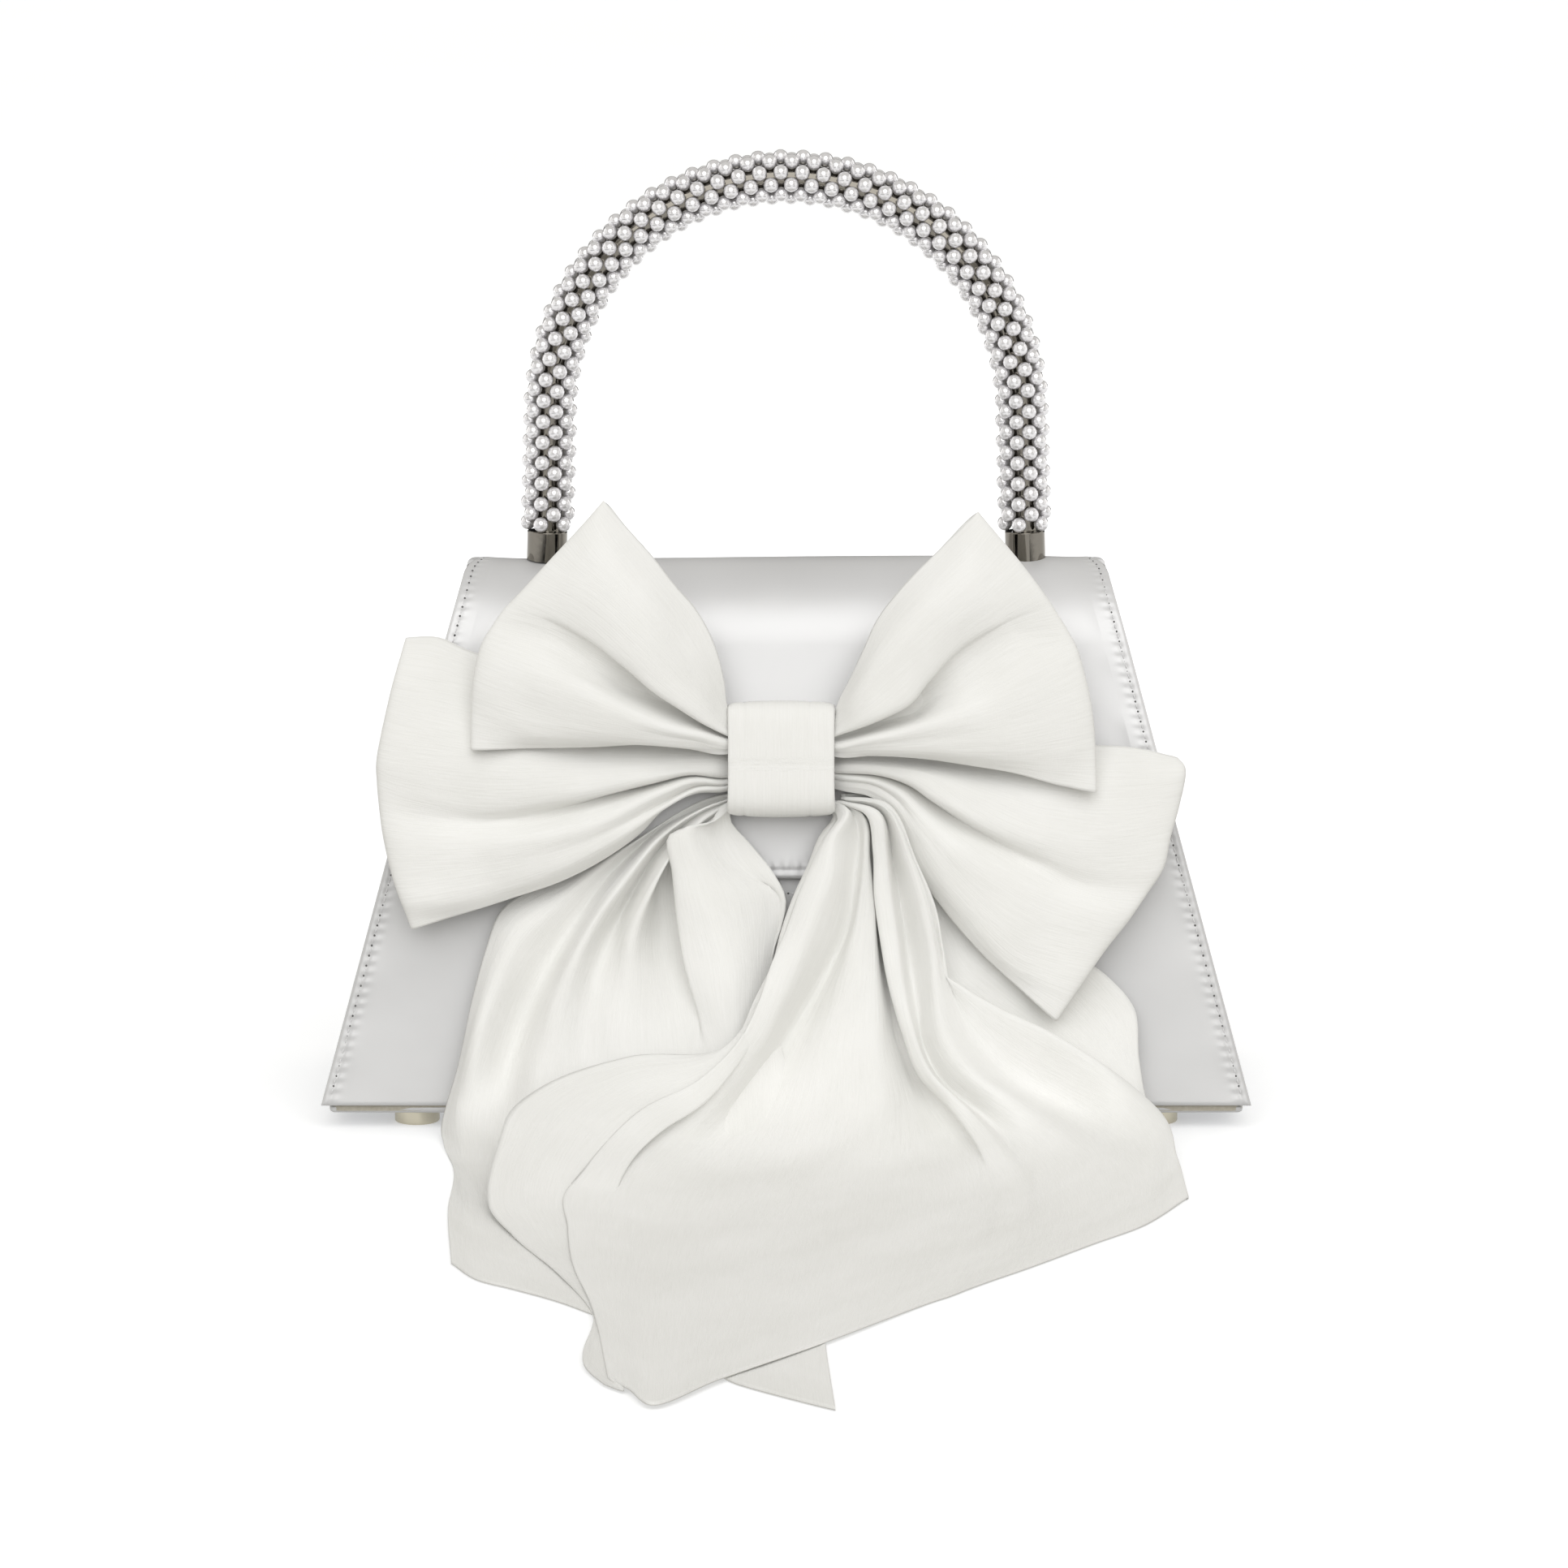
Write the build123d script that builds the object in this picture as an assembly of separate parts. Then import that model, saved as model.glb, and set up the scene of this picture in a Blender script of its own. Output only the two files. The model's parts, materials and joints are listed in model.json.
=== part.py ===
from build123d import *
from math import cos, degrees, pi, radians, sin, tan
import os

# Mini top-handle bag: a trapezoid body on four feet, a flap that rolls over the top from a hinge
# at the back, an arch handle covered in beads, and a double bow with two tails that lie on the floor.
# X runs along the bag's width, +Y to the back, +Z up. Lengths in mm. The model is drawn about the
# middle of the bag, then moved back so that the origin is under the middle of the whole object.

# ---- driving dimensions ----
FOOT_HEIGHT = 3.5
FOOT_RADIUS = 5.2
FOOT_INSET_X = 21.7          # foot centre in from the base's end
FOOT_INSET_Y = 10.1          # foot centre in from the base's front and back edges
BASE_Z = 5.8                 # bottom edge of the walls
BASE_HALF_WIDTH = 107.4
CREST_HALF_WIDTH = 74.5
CREST_Z = 127.5
CROWN_RADIUS = 22.0          # outer radius of the rolled top
LEAN = radians(12.5)         # front and back faces from the vertical
MOUTH_Z = 104.0
HINGE_Z = 104.0
HINGE_GAP = 0.3              # flap and back panel each stop this far from the hinge line

SATIN = 0.7
BOARD = 1.3
LINING = 0.6
FLAP_CLEARANCE = 0.4         # between the flap and the front panel
FLAP_BOTTOM_Z = 57.5
FLAP_CORNER_RADIUS = 22.0
CREST_CORNER_RADIUS = 4.0

TUBE_RADIUS = 2.85
TUBE_BORE_RADIUS = 1.95
ARCH_RADIUS = 54.9
ARCH_Z = 161.6               # centre of the handle's half circle
LEG_LEAN = radians(1.7)      # the legs spread slightly downwards
LEG_BOTTOM_Z = 130.2
FERRULE_RADIUS = 4.7
FERRULE_TOP_Z = 134.0
BEAD_RADIUS = 1.75
BEADS_PER_RING = 5
RING_PITCH = 2.4
BEAD_CLEARANCE = 0.03
SCREW_RADIUS = 1.5

SNAP_Z = 66.0
RIBBON = 2.4                 # thickness of a hanging tail's solid
TAIL_REACH = 285.0           # how far the tails lie in front of the bag's middle

# ---- derived dimensions ----
CROWN_Z = CREST_Z - CROWN_RADIUS
FLAP_THICKNESS = SATIN + BOARD + LINING
SIDE_SLOPE = (BASE_HALF_WIDTH - CREST_HALF_WIDTH) / (CREST_Z - BASE_Z)
BACK_REACH = CROWN_RADIUS                                  # a face's distance from the crown's axis
FRONT_REACH = CROWN_RADIUS - FLAP_THICKNESS - FLAP_CLEARANCE
OUTSIDE = 300.0                                            # larger than anything it cuts


def half_width(z):
    """Half the bag's width at height z."""
    return BASE_HALF_WIDTH - SIDE_SLOPE * (z - BASE_Z)


def face_y(z, reach):
    """Depth at height z of a leaning face whose plane is `reach` from the crown's axis."""
    return reach / cos(LEAN) + tan(LEAN) * (CROWN_Z - z)


BASE_FRONT_Y = -face_y(BASE_Z, FRONT_REACH)
BASE_BACK_Y = face_y(BASE_Z, BACK_REACH)
BASE_MID_Y = (BASE_FRONT_Y + BASE_BACK_Y) / 2
BAG_Y = (TAIL_REACH - BASE_BACK_Y) / 2                     # moves the origin under the whole object


# ---- helpers ----
def bar_x(profile, half=OUTSIDE):
    """A (y, z) face extruded both ways along X."""
    return extrude(Plane.YZ * profile, amount=half, both=True)


def bar_y(profile, half=OUTSIDE):
    """An (x, z) face extruded both ways along Y."""
    return extrude(Plane.XZ * profile, amount=half, both=True)


def polygon(points):
    return make_face(Polyline(*points, close=True))


def trapezoid(inset, bottom, top):
    """The bag's front outline, drawn in from its sides by `inset`."""
    low, high = half_width(bottom) - inset, half_width(top) - inset
    return polygon([(-low, bottom), (low, bottom), (high, top), (-high, top)])


def wall(outer, inner, inset, bottom, top, side):
    """A front (side -1) or back (side 1) wall between two reaches."""
    profile = polygon([
        (side * face_y(bottom, outer), bottom),
        (side * face_y(top, outer), top),
        (side * face_y(top, inner), top),
        (side * face_y(bottom, inner), bottom),
    ])
    return bar_x(profile) & bar_y(trapezoid(inset, bottom, top))


def bag_section(front, back, bottom, top):
    """The bag's section across its depth, between a front and a back reach."""
    return polygon([
        (-face_y(bottom, front), bottom),
        (-face_y(top, front), top),
        (face_y(top, back), top),
        (face_y(bottom, back), bottom),
    ])


def bag_block(front, back, inset, bottom, top):
    """A solid block with the bag's four leaning sides."""
    return bar_x(bag_section(front, back, bottom, top)) & bar_y(trapezoid(inset, bottom, top))


def on_front(z, reach):
    """A plane on the front face at height z, its normal pointing out of the bag."""
    return Plane(origin=(0, -face_y(z, reach), z), x_dir=(1, 0, 0), z_dir=(0, -cos(LEAN), sin(LEAN)))


def disc(radius, low, high, x=0.0, y=0.0, hole=0.0):
    """An upright disc or ring between two heights."""
    body = Pos(x, y, (low + high) / 2) * Cylinder(radius, high - low)
    if hole:
        body -= Pos(x, y, (low + high) / 2) * Cylinder(hole, high - low + 1)
    return body


# ---- body ----
def snap_opening(radius, low, high):
    """A round cutter on the snap's axis, between two distances in front of the front panel."""
    return on_front(SNAP_Z, FRONT_REACH) * disc(radius, low, high)


SOCKET_RADIUS = 7.0
SOCKET_DEPTH = SATIN + BOARD
DIMPLE_RADIUS = 3.5
WASHER_RADIUS = 8.5


def front_panel():
    panel = wall(FRONT_REACH, FRONT_REACH - SATIN, 0, BASE_Z, MOUTH_Z, -1)
    return panel - snap_opening(SOCKET_RADIUS + 0.05, -5, 5)


BOARD_INSET = 2.55           # boards sit inside the gussets' boards


def front_board():
    outer = FRONT_REACH - SATIN
    board = wall(outer, outer - BOARD, BOARD_INSET, BASE_Z + 0.05, MOUTH_Z - 1, -1)
    return board - snap_opening(SOCKET_RADIUS + 0.05, -5, 5)


def back_panel():
    return wall(BACK_REACH, BACK_REACH - SATIN, 0, BASE_Z, HINGE_Z - HINGE_GAP, 1)


def back_board():
    outer = BACK_REACH - SATIN
    return wall(outer, outer - BOARD, BOARD_INSET, BASE_Z + 0.05, MOUTH_Z - 1, 1)


GUSSET_SET_IN = 0.5          # the gussets sit just inside the ends of the front and back panels
GUSSET_TOP_RADIUS = FRONT_REACH - SATIN - 0.05


def gusset(near, far, side):
    """An end wall between two depths from the bag's end, with a round top that fills the crown."""
    back = BACK_REACH - SATIN - 0.05
    shoulder = HINGE_Z - 1
    outline = bag_section(GUSSET_TOP_RADIUS, back, BASE_Z, shoulder)
    outline += Pos(0, CROWN_Z) * Circle(GUSSET_TOP_RADIUS)
    top = CREST_Z
    slab = polygon([
        (side * (half_width(BASE_Z) - near), BASE_Z),
        (side * (half_width(top) - near), top),
        (side * (half_width(top) - far), top),
        (side * (half_width(BASE_Z) - far), BASE_Z),
    ])
    return bar_x(outline) & bar_y(slab)


def foot_places():
    """The four feet's centres, by node name."""
    x = BASE_HALF_WIDTH - FOOT_INSET_X
    rows = {"front": BASE_FRONT_Y + FOOT_INSET_Y, "back": BASE_BACK_Y - FOOT_INSET_Y}
    sides = {"left": -x, "right": x}
    return {f"foot_{row}_{side}": (sides[side], rows[row]) for row in rows for side in sides}


SHANK_RADIUS = 1.0
SHANK_TOP_Z = 7.4
SHANK_HOLE = 1.05
LINING_FLOOR_Z = BASE_Z + 0.05
BASE_SET_IN = 1.0            # the base is a little smaller than the walls
BASE_RIM_Z = 5.3             # its satin edge stops short of them


def drill_feet(body):
    for x, y in foot_places().values():
        body -= disc(SHANK_HOLE, 0, 12, x, y)
    return body


def base_slab(inset, bottom, top):
    width = 2 * (BASE_HALF_WIDTH - inset)
    depth = BASE_BACK_Y - BASE_FRONT_Y - 2 * inset
    outline = Pos(0, BASE_MID_Y) * RectangleRounded(width, depth, 4.0 - inset / 2)
    return Pos(0, 0, bottom) * extrude(outline, amount=top - bottom)


def base_panel():
    pocket = base_slab(BASE_SET_IN + SATIN, FOOT_HEIGHT + SATIN, BASE_RIM_Z + 1)
    return drill_feet(base_slab(BASE_SET_IN, FOOT_HEIGHT, BASE_RIM_Z) - pocket)


def base_board():
    return drill_feet(base_slab(BASE_SET_IN + SATIN + 0.05, FOOT_HEIGHT + SATIN, BASE_Z))


def lining():
    front = FRONT_REACH - SATIN - BOARD - 0.05
    back = BACK_REACH - SATIN - BOARD - 0.05
    outside = bag_block(front, back, BOARD_INSET + 0.05, LINING_FLOOR_Z, MOUTH_Z - 1.5)
    inside = bag_block(front - LINING, back - LINING, BOARD_INSET + 0.05 + LINING,
                       LINING_FLOOR_Z + LINING, MOUTH_Z + 5)
    bag = drill_feet(outside - inside)
    return bag - snap_opening(WASHER_RADIUS + 0.1, -5, 5)


def foot(x, y):
    pad = disc(FOOT_RADIUS, 0, FOOT_HEIGHT, x, y)
    pad = fillet(pad.edges().group_by(Axis.Z)[0], 0.5)
    return pad + disc(SHANK_RADIUS, FOOT_HEIGHT - 0.5, SHANK_TOP_Z, x, y)


def foot_washers():
    floor = LINING_FLOOR_Z + LINING
    return Compound([disc(3.0, floor, floor + 0.6, x, y, hole=SHANK_HOLE) for x, y in foot_places().values()])


def snap_socket():
    face = disc(SOCKET_RADIUS, -0.5, 0, hole=DIMPLE_RADIUS)
    rim = disc(SOCKET_RADIUS, -SOCKET_DEPTH, -0.4, hole=SOCKET_RADIUS - 0.7)
    collar = disc(DIMPLE_RADIUS + 0.5, -1.6, -0.4, hole=DIMPLE_RADIUS)
    return on_front(SNAP_Z, FRONT_REACH) * (face + rim + collar)


def snap_magnet():
    ring = disc(SOCKET_RADIUS - 0.75, -SOCKET_DEPTH, -0.55, hole=DIMPLE_RADIUS + 0.55)
    return on_front(SNAP_Z, FRONT_REACH) * ring


def snap_socket_washer():
    return on_front(SNAP_Z, FRONT_REACH) * disc(WASHER_RADIUS, -SOCKET_DEPTH - 0.65, -SOCKET_DEPTH - 0.05)


# ---- flap ----
def crown_layer(outer, inner, front_z, back_z):
    """A rolled layer's section: front drop, round crown and short back drop, between two reaches."""
    def ends(reach):
        return {
            "front": (-face_y(front_z, reach), front_z),
            "front_tangent": (-reach * cos(LEAN), CROWN_Z + reach * sin(LEAN)),
            "crest": (0, CROWN_Z + reach),
            "back_tangent": (reach * cos(LEAN), CROWN_Z + reach * sin(LEAN)),
            "back": (face_y(back_z, reach), back_z),
        }
    out, inn = ends(outer), ends(inner)
    return make_face([
        Line(out["front"], out["front_tangent"]),
        ThreePointArc(out["front_tangent"], out["crest"], out["back_tangent"]),
        Line(out["back_tangent"], out["back"]),
        Line(out["back"], inn["back"]),
        Line(inn["back"], inn["back_tangent"]),
        ThreePointArc(inn["back_tangent"], inn["crest"], inn["front_tangent"]),
        Line(inn["front_tangent"], inn["front"]),
        Line(inn["front"], out["front"]),
    ])


def flap_outline(inset):
    """The flap seen from the front: wide round bottom corners, small round crest corners."""
    outline = trapezoid(inset, FLAP_BOTTOM_Z + inset, CREST_Z - inset / 2)
    corners = outline.vertices().sort_by(Axis.Y)
    outline = fillet(corners[:2], FLAP_CORNER_RADIUS - inset)
    return fillet(outline.vertices().sort_by(Axis.Y)[-2:], CREST_CORNER_RADIUS - inset)


def flap_layer(outer, inner, inset):
    section = crown_layer(outer, inner, FLAP_BOTTOM_Z - 1, HINGE_Z + HINGE_GAP)
    return bar_x(section) & bar_y(flap_outline(inset))


def on_ferrules(radius, low, high):
    """Two upright cutters under the ferrules."""
    return [disc(radius, low, high, x) for x in (-FERRULE_X, FERRULE_X)]


LEG_TOP_X = ARCH_RADIUS * cos(LEG_LEAN)
LEG_TOP_Z = ARCH_Z + ARCH_RADIUS * sin(LEG_LEAN)
FERRULE_X = LEG_TOP_X + tan(LEG_LEAN) * (LEG_TOP_Z - LEG_BOTTOM_Z)
PLATE_HALF = (66.0, 12.0)    # handle plate's half length and half depth
STUD_RADIUS = 6.5
PLUNGER_RADIUS = 2.4
BOARD_REACH = CROWN_RADIUS - SATIN
PLATE_REACH = BOARD_REACH - BOARD
LINING_REACH = CROWN_RADIUS - FLAP_THICKNESS
WASHER_TOP_Z = 125.15        # just under the plate's curved underside


def drill_ferrules(body, radius):
    for cutter in on_ferrules(radius, CROWN_Z, CREST_Z + 5):
        body -= cutter
    return body


def flap_satin():
    return drill_ferrules(flap_layer(CROWN_RADIUS, BOARD_REACH, 0), SCREW_RADIUS + 0.1)


def flap_board():
    board = flap_layer(BOARD_REACH, PLATE_REACH, 1.2)
    board -= Pos(0, 0, CREST_Z) * Box(2 * PLATE_HALF[0] + 0.4, 2 * PLATE_HALF[1] + 0.4, 12)
    return board - snap_opening(STUD_RADIUS + 0.1, 0.2, SATIN + BOARD + 1)


def flap_lining():
    layer = drill_ferrules(flap_layer(PLATE_REACH, LINING_REACH, 0.8), 3.6)
    return layer - snap_opening(STUD_RADIUS + 0.1, 0.2, SATIN + BOARD + 1)


def snap_stud():
    plate = disc(STUD_RADIUS, FLAP_CLEARANCE, FLAP_CLEARANCE + 1)
    plunger = disc(PLUNGER_RADIUS, -0.5, FLAP_CLEARANCE + 0.5)
    return on_front(SNAP_Z, FRONT_REACH) * (plate + plunger)


def snap_stud_washer():
    return on_front(SNAP_Z, FRONT_REACH) * disc(STUD_RADIUS, FLAP_CLEARANCE + 1.05, FLAP_CLEARANCE + 1.85)


# ---- handle ----
def handle_plate():
    length, depth = PLATE_HALF
    strip = bar_x(crown_layer(BOARD_REACH, PLATE_REACH, CROWN_Z, CROWN_Z), length)
    strip &= Pos(0, 0, CREST_Z) * Box(2 * length, 2 * depth, 12)
    return drill_ferrules(strip, SCREW_RADIUS + 0.1)


def handle_path():
    """Leg, half circle and leg, in one tangent line from left to right."""
    foot_left, foot_right = (-FERRULE_X, 0, LEG_BOTTOM_Z), (FERRULE_X, 0, LEG_BOTTOM_Z)
    left, right = (-LEG_TOP_X, 0, LEG_TOP_Z), (LEG_TOP_X, 0, LEG_TOP_Z)
    top = (0, 0, ARCH_Z + ARCH_RADIUS)
    return Wire([Line(foot_left, left), ThreePointArc(left, top, right), Line(right, foot_right)])


def handle_tube():
    path = handle_path()
    section = Plane(origin=path @ 0, z_dir=path % 0) * (Circle(TUBE_RADIUS) - Circle(TUBE_BORE_RADIUS))
    return sweep(section, path=path)


def ferrule(side):
    """A sleeve on a handle leg, its foot shaped to the crown, with a socket above a screw hole."""
    axis = Location((side * FERRULE_X, 0, LEG_BOTTOM_Z), (0, -side * degrees(LEG_LEAN), 0))
    top = FERRULE_TOP_Z - LEG_BOTTOM_Z
    sleeve = axis * disc(FERRULE_RADIUS, -6, top)
    sleeve = fillet(sleeve.edges().group_by(Axis.Z)[-1], 0.3)
    sleeve -= axis * disc(TUBE_RADIUS + 0.03, 0, top + 1)
    sleeve -= axis * disc(SCREW_RADIUS + 0.2, -8, 1)
    return sleeve - bar_x(Pos(0, CROWN_Z) * Circle(CROWN_RADIUS))


def handle_screws():
    screws = []
    for x in (-FERRULE_X, FERRULE_X):
        shank = disc(SCREW_RADIUS, WASHER_TOP_Z - 0.6, LEG_BOTTOM_Z, x)
        screws.append(shank + disc(2.8, WASHER_TOP_Z - 2.05, WASHER_TOP_Z - 0.55, x))
    return Compound(screws)


def handle_washers():
    low = WASHER_TOP_Z - 0.5
    return Compound([disc(3.4, low, WASHER_TOP_Z, x, hole=SCREW_RADIUS + 0.1) for x in (-FERRULE_X, FERRULE_X)])


LEG_LENGTH = (LEG_TOP_Z - LEG_BOTTOM_Z) / cos(LEG_LEAN)
ARC_LENGTH = ARCH_RADIUS * (pi - 2 * LEG_LEAN)
COVERED_START = (FERRULE_TOP_Z - LEG_BOTTOM_Z) / cos(LEG_LEAN) + BEAD_RADIUS + 0.1
COVERED = 2 * LEG_LENGTH + ARC_LENGTH - 2 * COVERED_START
RING_COUNT = round(COVERED / RING_PITCH) + 1


def along_handle(distance):
    """Point on the handle's middle line and its outward normal, as (x, z) pairs."""
    if distance < LEG_LENGTH:
        x = -FERRULE_X + distance * sin(LEG_LEAN)
        return (x, LEG_BOTTOM_Z + distance * cos(LEG_LEAN)), (-cos(LEG_LEAN), sin(LEG_LEAN))
    if distance > LEG_LENGTH + ARC_LENGTH:
        (x, z), (normal_x, normal_z) = along_handle(2 * LEG_LENGTH + ARC_LENGTH - distance)
        return (-x, z), (-normal_x, normal_z)
    angle = pi - LEG_LEAN - (distance - LEG_LENGTH) / ARCH_RADIUS
    return (ARCH_RADIUS * cos(angle), ARCH_Z + ARCH_RADIUS * sin(angle)), (cos(angle), sin(angle))


def pearl_strand(row):
    """Every second ring's bead in one of ten rows: rows 0-4 on even rings, 5-9 half a step round."""
    odd_ring, place = divmod(row, BEADS_PER_RING)
    turn = 2 * pi * (place + odd_ring / 2) / BEADS_PER_RING
    out = TUBE_RADIUS + BEAD_RADIUS + BEAD_CLEARANCE
    beads = []
    for ring in range(odd_ring, RING_COUNT, 2):
        (x, z), (normal_x, normal_z) = along_handle(COVERED_START + ring * COVERED / (RING_COUNT - 1))
        spot = (x + out * cos(turn) * normal_x, out * sin(turn), z + out * cos(turn) * normal_z)
        beads.append(Pos(*spot) * Sphere(BEAD_RADIUS))
    return Compound(beads)


# ---- bow ----
KNOT_Z = 84.6
KNOT_X = -1.0
KNOT_WIDTH = 24.6
KNOT_HEIGHT = 22.4
KNOT_OUT = (0.1, 16.0)       # the knot band's distances in front of the flap
BAND = 1.2
LOOP_GAP = 0.2               # between the loops and the knot
LOWER_OUT = (3.6, 11.0)
UPPER_OUT = (11.4, 19.0)
TAIL_OUT = 0.5

# Loop outlines as (x, z) seen on the flap's plane, from the knot round the loop.
UPPER_LEFT = [(89, 0), (99.5, 0), (111, -16), (126, -21), (131, -28), (144.8, -41.4), (131, -55.5),
              (116, -65.7), (106, -71), (88.7, -71.8)]
UPPER_RIGHT = [(89, 0), (97, 0), (113, 17), (129.6, 28), (142.1, 43.5), (123, 57), (106, 67),
               (79.6, 70.5), (86, 43)]
LOWER_LEFT = [(81, 0), (93, 0), (110, -68), (113, -87.9), (87, -92.9), (76, -92.9), (47.7, -85),
              (54, -63), (63, -39)]
LOWER_RIGHT = [(81, 0), (93, 0), (91, 71), (86.8, 87.8), (83, 91.5), (72, 88.7), (59.5, 84.9),
               (37.7, 69), (27.5, 61.6), (54, 35.6), (76, 17)]


def knot_plane():
    return on_front(KNOT_Z, CROWN_RADIUS)


def loop(outline, out, side):
    """A flattened ribbon loop that starts at the knot's side."""
    start = KNOT_X + side * (KNOT_WIDTH / 2 + LOOP_GAP)
    points = [(start if x == 0 else x, (z - KNOT_Z) / cos(LEAN)) for z, x in outline]
    low, high = out
    return knot_plane() * (Pos(0, 0, low) * extrude(polygon(points), amount=high - low))


def knot_block(margin):
    low, high = KNOT_OUT[0] + margin, KNOT_OUT[1] - margin
    size = (KNOT_WIDTH, KNOT_HEIGHT - 2 * margin, high - low)
    return Pos(KNOT_X, 0, (low + high) / 2) * Box(*size)


def knot_band():
    block = knot_block(0)
    block = fillet(block.edges().filter_by(Axis.X).sort_by(Axis.Z)[-2:], 3.0)
    hole = Box(OUTSIDE, KNOT_HEIGHT - 2 * BAND, KNOT_OUT[1] - KNOT_OUT[0] - 2 * BAND)
    return knot_plane() * (block - Pos(0, 0, sum(KNOT_OUT) / 2) * hole)


def gather_core():
    core = knot_block(BAND + 0.1)
    return knot_plane() * fillet(core.edges().filter_by(Axis.X), 2.0)


TAIL_LANDING_Y = -58.0       # where the tails reach the floor
TAIL_BEND_Z = 27.0           # they lie flat on the bag above this height
TAIL_TOP_Z = KNOT_Z - KNOT_HEIGHT / 2 * cos(LEAN) - 0.8


def tail_section():
    """A hanging tail's side view: flat on the flap, then sloping out to the floor in front."""
    back = CROWN_RADIUS + TAIL_OUT
    front = back + RIBBON
    return polygon([
        (-face_y(TAIL_TOP_Z, back), TAIL_TOP_Z),
        (-face_y(TAIL_BEND_Z, back), TAIL_BEND_Z),
        (TAIL_LANDING_Y, 0),
        (TAIL_LANDING_Y - RIBBON, 0),
        (-face_y(TAIL_BEND_Z, front), TAIL_BEND_Z),
        (-face_y(TAIL_TOP_Z, front), TAIL_TOP_Z),
    ])


LEFT_HANGING = [(-12, TAIL_TOP_Z), (-30, 68), (-60, 58), (-66, 44), (-73, 22), (-79, 0),
                (-20, 0), (-7.5, 30), (-5, 46), (-1.5, 59), (-3, TAIL_TOP_Z)]
LEFT_FLOOR = [(-79, -56), (-76, -75), (-72, -170), (-67, -185), (-40, -210), (-13, -263),
              (9.5, -284), (8, -238), (-15, -120), (-20, -56)]
RIGHT_HANGING = [(11, TAIL_TOP_Z), (20, 66), (50, 52), (69, 40), (79, 29), (82, 14), (85.5, 0),
                 (-14, 0), (-4, 28), (0, 46), (0.5, 60), (2, TAIL_TOP_Z)]
RIGHT_FLOOR = [(85.5, -56), (88.5, -115), (-30, -TAIL_REACH), (-38, -262), (-40, -205), (-64, -150),
               (-66, -105), (-45, -80), (-10, -56)]


def tail(hanging, floor, low):
    """One ribbon tail: a hanging sheet joined to the part that lies on the floor, `low` above it."""
    above = Pos(0, 0, low + OUTSIDE) * Box(2 * OUTSIDE, 2 * OUTSIDE, 2 * OUTSIDE)
    sheet = bar_x(tail_section()) & bar_y(polygon(hanging)) & above
    return sheet + Pos(0, 0, low) * extrude(polygon(floor), amount=RIBBON)


# ---- parts ----
def build_parts():
    parts = {
        "front_panel": front_panel(),
        "front_board": front_board(),
        "back_panel": back_panel(),
        "back_board": back_board(),
        "base_panel": base_panel(),
        "base_board": base_board(),
        "lining": lining(),
        "foot_washers": foot_washers(),
        "snap_socket": snap_socket(),
        "snap_magnet": snap_magnet(),
        "snap_socket_washer": snap_socket_washer(),
        "flap_satin": flap_satin(),
        "flap_board": flap_board(),
        "flap_lining": flap_lining(),
        "snap_stud": snap_stud(),
        "snap_stud_washer": snap_stud_washer(),
        "handle_plate": handle_plate(),
        "handle_tube": handle_tube(),
        "handle_screws": handle_screws(),
        "handle_washers": handle_washers(),
        "knot_band": knot_band(),
        "gather_core": gather_core(),
        "upper_loop_left": loop(UPPER_LEFT, UPPER_OUT, -1),
        "upper_loop_right": loop(UPPER_RIGHT, UPPER_OUT, 1),
        "lower_loop_left": loop(LOWER_LEFT, LOWER_OUT, -1),
        "lower_loop_right": loop(LOWER_RIGHT, LOWER_OUT, 1),
        "tail_left": tail(LEFT_HANGING, LEFT_FLOOR, 0),
        "tail_right": tail(RIGHT_HANGING, RIGHT_FLOOR, RIBBON + 0.3),
    }
    for name, side in (("left", -1), ("right", 1)):
        parts[f"{name}_gusset"] = gusset(GUSSET_SET_IN, GUSSET_SET_IN + SATIN, side)
        parts[f"{name}_gusset_board"] = gusset(GUSSET_SET_IN + SATIN, GUSSET_SET_IN + SATIN + BOARD, side)
        parts[f"ferrule_{name}"] = ferrule(side)
    for name, (x, y) in foot_places().items():
        parts[name] = foot(x, y)
    for row in range(2 * BEADS_PER_RING):
        parts[f"pearl_strand_{row + 1:02d}"] = pearl_strand(row)
    return parts


os.makedirs("parts", exist_ok=True)
for node, shape in build_parts().items():
    export_step(Pos(0, BAG_Y, 0) * shape, f"parts/{node}.step")
print(f"bag middle at y = {BAG_Y:.2f}, hinge at y = {BAG_Y + face_y(HINGE_Z, BACK_REACH):.2f}, z = {HINGE_Z}")
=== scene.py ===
import json
import math

import bmesh
import bpy
import numpy as np
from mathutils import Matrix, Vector, noise


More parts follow.
